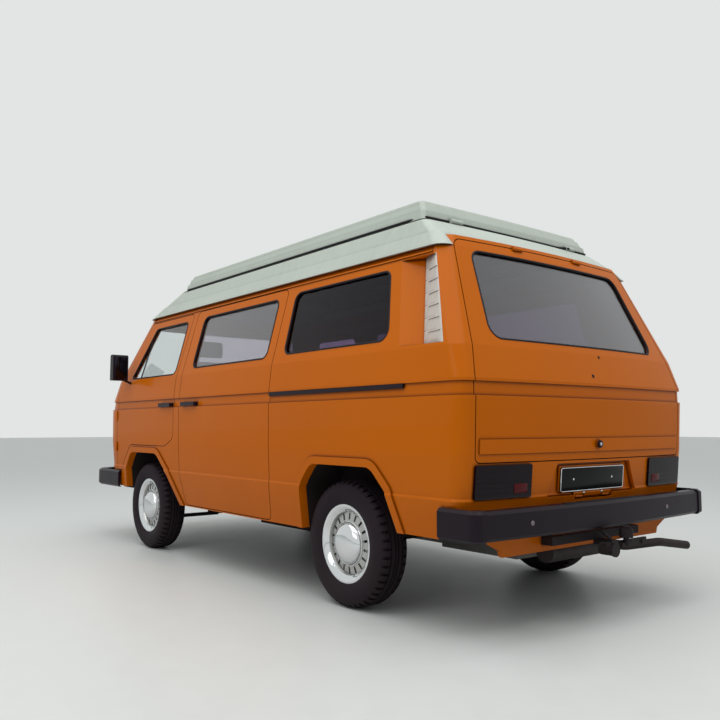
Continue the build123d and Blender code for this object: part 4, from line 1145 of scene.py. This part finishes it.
# %% Head lamps
TURN_LAMP_TOP, DRUM_RADIUS, LAMP_X, LAMP_Z = 0.875, 0.084, 0.600, 0.977
DRUM_WALL, LENS_DEPTH = 0.004, 0.06
FLUTE_STEP, FLUTE_SHARE, FLUTE_RADIUS, FLUTE_PARTS = 0.026, 0.86, 0.0012, 12
AMBER = plastic("amber_lens", shade(238, 138, 0), shade(250, 156, 10), 0.1, 0.2, 60.0, 0.3)
lamps = nodes["front_lamps"].data
lamps.materials.append(AMBER)
lamps.materials.append(CHROME)
lamps_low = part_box("front_lamps")[0]
for face in lamps.polygons:
    middle = face.center
    from_axis = math.hypot(abs(middle.x) - LAMP_X, middle.z - LAMP_Z)
    if middle.z < TURN_LAMP_TOP:
        face.material_index = 1
    elif from_axis > DRUM_RADIUS - DRUM_WALL or middle.y > lamps_low.y + LENS_DEPTH:
        face.material_index = 2

lens = skin_of("front_lamps")
for word, side in SIDES:
    for index in range(-2, 3):
        x = side * LAMP_X + index * FLUTE_STEP
        reach = math.sqrt(DRUM_RADIUS ** 2 - (index * FLUTE_STEP) ** 2) * FLUTE_SHARE
        rows = even(LAMP_Z - reach, LAMP_Z + reach, FLUTE_PARTS)
        bead(
            "lens_flute_%s_%d" % (word, index + 2), [from_ahead(lens, x, z)[0] for z in rows],
            FLUTE_RADIUS, FINISH["lamp_clear"], "body", closed=False,
        )
print("lamp finishes", [material.name for material in lamps.materials])

# %% [markdown]
# ## Seats and bench
# Each cushion starts as a box a little smaller than its place in the frame. Its corners are
# rounded, it is remeshed into even squares, and a cloth simulation with air pressure inside
# fills it until it meets a limit. The sewn channels are pressed in afterwards.

# %% Cushion helpers
PAD_SLACK, PAD_LIMIT, PAD_CELL, PAD_ROUND = 0.010, 0.013, 0.016, 0.026
PAD_FRAMES, PAD_PRESSURE = 20, 4.0
CHANNEL_DEPTH, CHANNEL_WIDE, CHANNEL_FACING = 0.007, 0.010, 0.5


def drawn_in(outline):
    """An outline of y and z, made smaller by the slack on every side."""
    low = [min(point[i] for point in outline) for i in (0, 1)]
    high = [max(point[i] for point in outline) for i in (0, 1)]
    middle = [(a + b) / 2 for a, b in zip(low, high)]
    shrink = [1 - 2 * PAD_SLACK / (b - a) for a, b in zip(low, high)]
    return [[c + (p - c) * k for p, c, k in zip(point, middle, shrink)] for point in outline]


def plain_pad(outline, x_low, x_high):
    """A box from an outline, drawn in by the slack, with round edges."""
    shape = bmesh.new()
    ring = [shape.verts.new((x_low + PAD_SLACK, y, z)) for y, z in drawn_in(outline)]
    grown = bmesh.ops.extrude_face_region(shape, geom=[shape.faces.new(ring)])
    moved = [item for item in grown["geom"] if isinstance(item, bmesh.types.BMVert)]
    bmesh.ops.translate(shape, vec=(x_high - x_low - 2 * PAD_SLACK, 0, 0), verts=moved)
    bmesh.ops.recalc_face_normals(shape, faces=shape.faces)
    bmesh.ops.bevel(
        shape, geom=shape.edges[:], offset=PAD_ROUND, segments=3, profile=0.5, affect="EDGES"
    )
    return shape


def as_mesh(holder):
    """The mesh of an object with its modifiers applied."""
    view = bpy.context.evaluated_depsgraph_get()
    return bpy.data.meshes.new_from_object(holder.evaluated_get(view))


def filled(holder):
    """Blows an object up as a cloth bag and keeps each point within the limit."""
    before = [v.co.copy() for v in holder.data.vertices]
    cloth = holder.modifiers.new("cloth", "CLOTH")
    cloth.settings.use_pressure = True
    cloth.settings.uniform_pressure_force = PAD_PRESSURE
    cloth.settings.effector_weights.gravity = 0
    for frame_number in range(1, PAD_FRAMES + 1):
        scene.frame_set(frame_number)
    swollen = as_mesh(holder)
    holder.modifiers.remove(cloth)
    scene.frame_set(1)
    for vertex, old in zip(swollen.vertices, before):
        move = vertex.co - old
        if move.length > PAD_LIMIT:
            vertex.co = old + move.normalized() * PAD_LIMIT
    holder.data = swollen


def cushion(name, outline, x_low, x_high, facing, channels):
    """A stuffed pad with sewn channels; channels are planes as a point and a normal."""
    mesh = bpy.data.meshes.new(name)
    shape = plain_pad(outline, x_low, x_high)
    shape.to_mesh(mesh)
    shape.free()
    holder = bpy.data.objects.new(name, mesh)
    scene.collection.objects.link(holder)
    remesh = holder.modifiers.new("remesh", "REMESH")
    remesh.mode = "VOXEL"
    remesh.voxel_size = PAD_CELL
    even_mesh = as_mesh(holder)
    holder.modifiers.remove(remesh)
    holder.data = even_mesh
    filled(holder)
    finer = holder.modifiers.new("finer", "SUBSURF")
    finer.levels = finer.render_levels = 1
    smooth = as_mesh(holder)
    holder.modifiers.remove(finer)
    bpy.data.objects.remove(holder)
    shape = bmesh.new()
    shape.from_mesh(smooth)
    bpy.data.meshes.remove(smooth)
    for vertex in shape.verts:
        if vertex.normal.dot(facing) < CHANNEL_FACING:
            continue
        near = min(abs((vertex.co - point).dot(across)) for point, across in channels)
        vertex.co -= facing * CHANNEL_DEPTH * math.exp(-((near / CHANNEL_WIDE) ** 2))
    piece = finish_piece(name, shape, FINISH["seat_fabric"], "body")
    return piece


# %% [markdown]
# ## Places of the cushions
# A front seat is a pad, a leaning back and a head rest. The bench behind has a pad and a back.
# Their outlines are read from the side of the frame's own seats, and the channels lie where an
# upholsterer would sew them: across the pad, across the back, and along both edges.

# %% Outlines
seat_low, seat_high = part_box("front_seats")
bench_low, bench_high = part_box("bench_cushions")


def block(y_low, y_high, z_low, z_high):
    """An upright outline of y and z."""
    return [(y_low, z_low), (y_high, z_low), (y_high, z_high), (y_low, z_high)]


SEAT_Y, SEAT_DEEP, SEAT_TALL = seat_low.y, 0.445, 0.130
SEAT_X, SEAT_HALF, BACK_INSET, REST_HALF = 0.530, 0.260, 0.01, 0.12
BACK_LOW, BACK_TOP, REST_LOW = 0.815, 1.440, 1.435
SEAT_OUTLINE = block(SEAT_Y, SEAT_Y + SEAT_DEEP, seat_low.z, seat_low.z + SEAT_TALL)
BACK_OUTLINE = [
    (SEAT_Y + 0.460, BACK_LOW), (SEAT_Y + 0.590, BACK_LOW), (SEAT_Y + 0.650, BACK_TOP),
    (SEAT_Y + 0.560, BACK_TOP),
]
REST_OUTLINE = block(SEAT_Y + 0.585, SEAT_Y + 0.650, REST_LOW, seat_high.z)
BENCH_TOP, BENCH_DEEP, BENCH_BACK_Y, BENCH_GAP = 0.900, 0.53, 2.050 + FRONT_AXLE, 0.001
BENCH_OUTLINE = block(bench_low.y, bench_low.y + BENCH_DEEP, bench_low.z, BENCH_TOP)
BENCH_BACK_OUTLINE = block(BENCH_BACK_Y, bench_high.y, BENCH_TOP + BENCH_GAP, bench_high.z)
print("seats start at y", round(SEAT_Y, 3), "and the bench at y", round(bench_low.y, 3))

# %% Cushions
LEAN = Vector((0, 0.16, 0.98)).normalized()
PAD_LINES = [(Vector((0, SEAT_Y + y, 0)), BACK) for y in (0.11, 0.22, 0.33)]
BACK_LINES = [(Vector((0, 0, z)), LEAN) for z in (0.98, 1.10, 1.22, 1.34)]
REST_LINE = [(Vector((0, 0, 1.51)), UP)]
EDGE_INSET = 0.185
BENCH_LINES = [(Vector((x, 0, 0)), LEFT) for x in (-0.53, -0.215, 0.10)]
pads = []
for word, side in SIDES:
    middle = side * SEAT_X
    low, high = middle - SEAT_HALF, middle + SEAT_HALF
    edges = [(Vector((middle + x, 0, 0)), LEFT) for x in (-EDGE_INSET, EDGE_INSET)]
    pads += [
        cushion("seat_pad_" + word, SEAT_OUTLINE, low, high, UP, PAD_LINES + edges),
        cushion(
            "seat_back_" + word, BACK_OUTLINE, low + BACK_INSET, high - BACK_INSET, AHEAD,
            BACK_LINES + edges,
        ),
        cushion(
            "head_rest_" + word, REST_OUTLINE, middle - REST_HALF, middle + REST_HALF, AHEAD,
            REST_LINE,
        ),
    ]
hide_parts("front_seats")
x_low, x_high = bench_low.x, bench_high.x
bench_pads = [
    cushion("bench_pad", BENCH_OUTLINE, x_low, x_high, UP, BENCH_LINES),
    cushion("bench_back", BENCH_BACK_OUTLINE, x_low, x_high, AHEAD, BENCH_LINES),
]
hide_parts("bench_cushions")
print("pads", [len(piece.data.polygons) for piece in pads + bench_pads])

# %% [markdown]
# ## Sizes
# The last cell prints the dressed van's box, so that a piece that grew out of the van's real
# size is easy to spot.

# %% Print the dressed van's box
low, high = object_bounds()
print("visual box", [round(v, 3) for v in (*low, *high)])
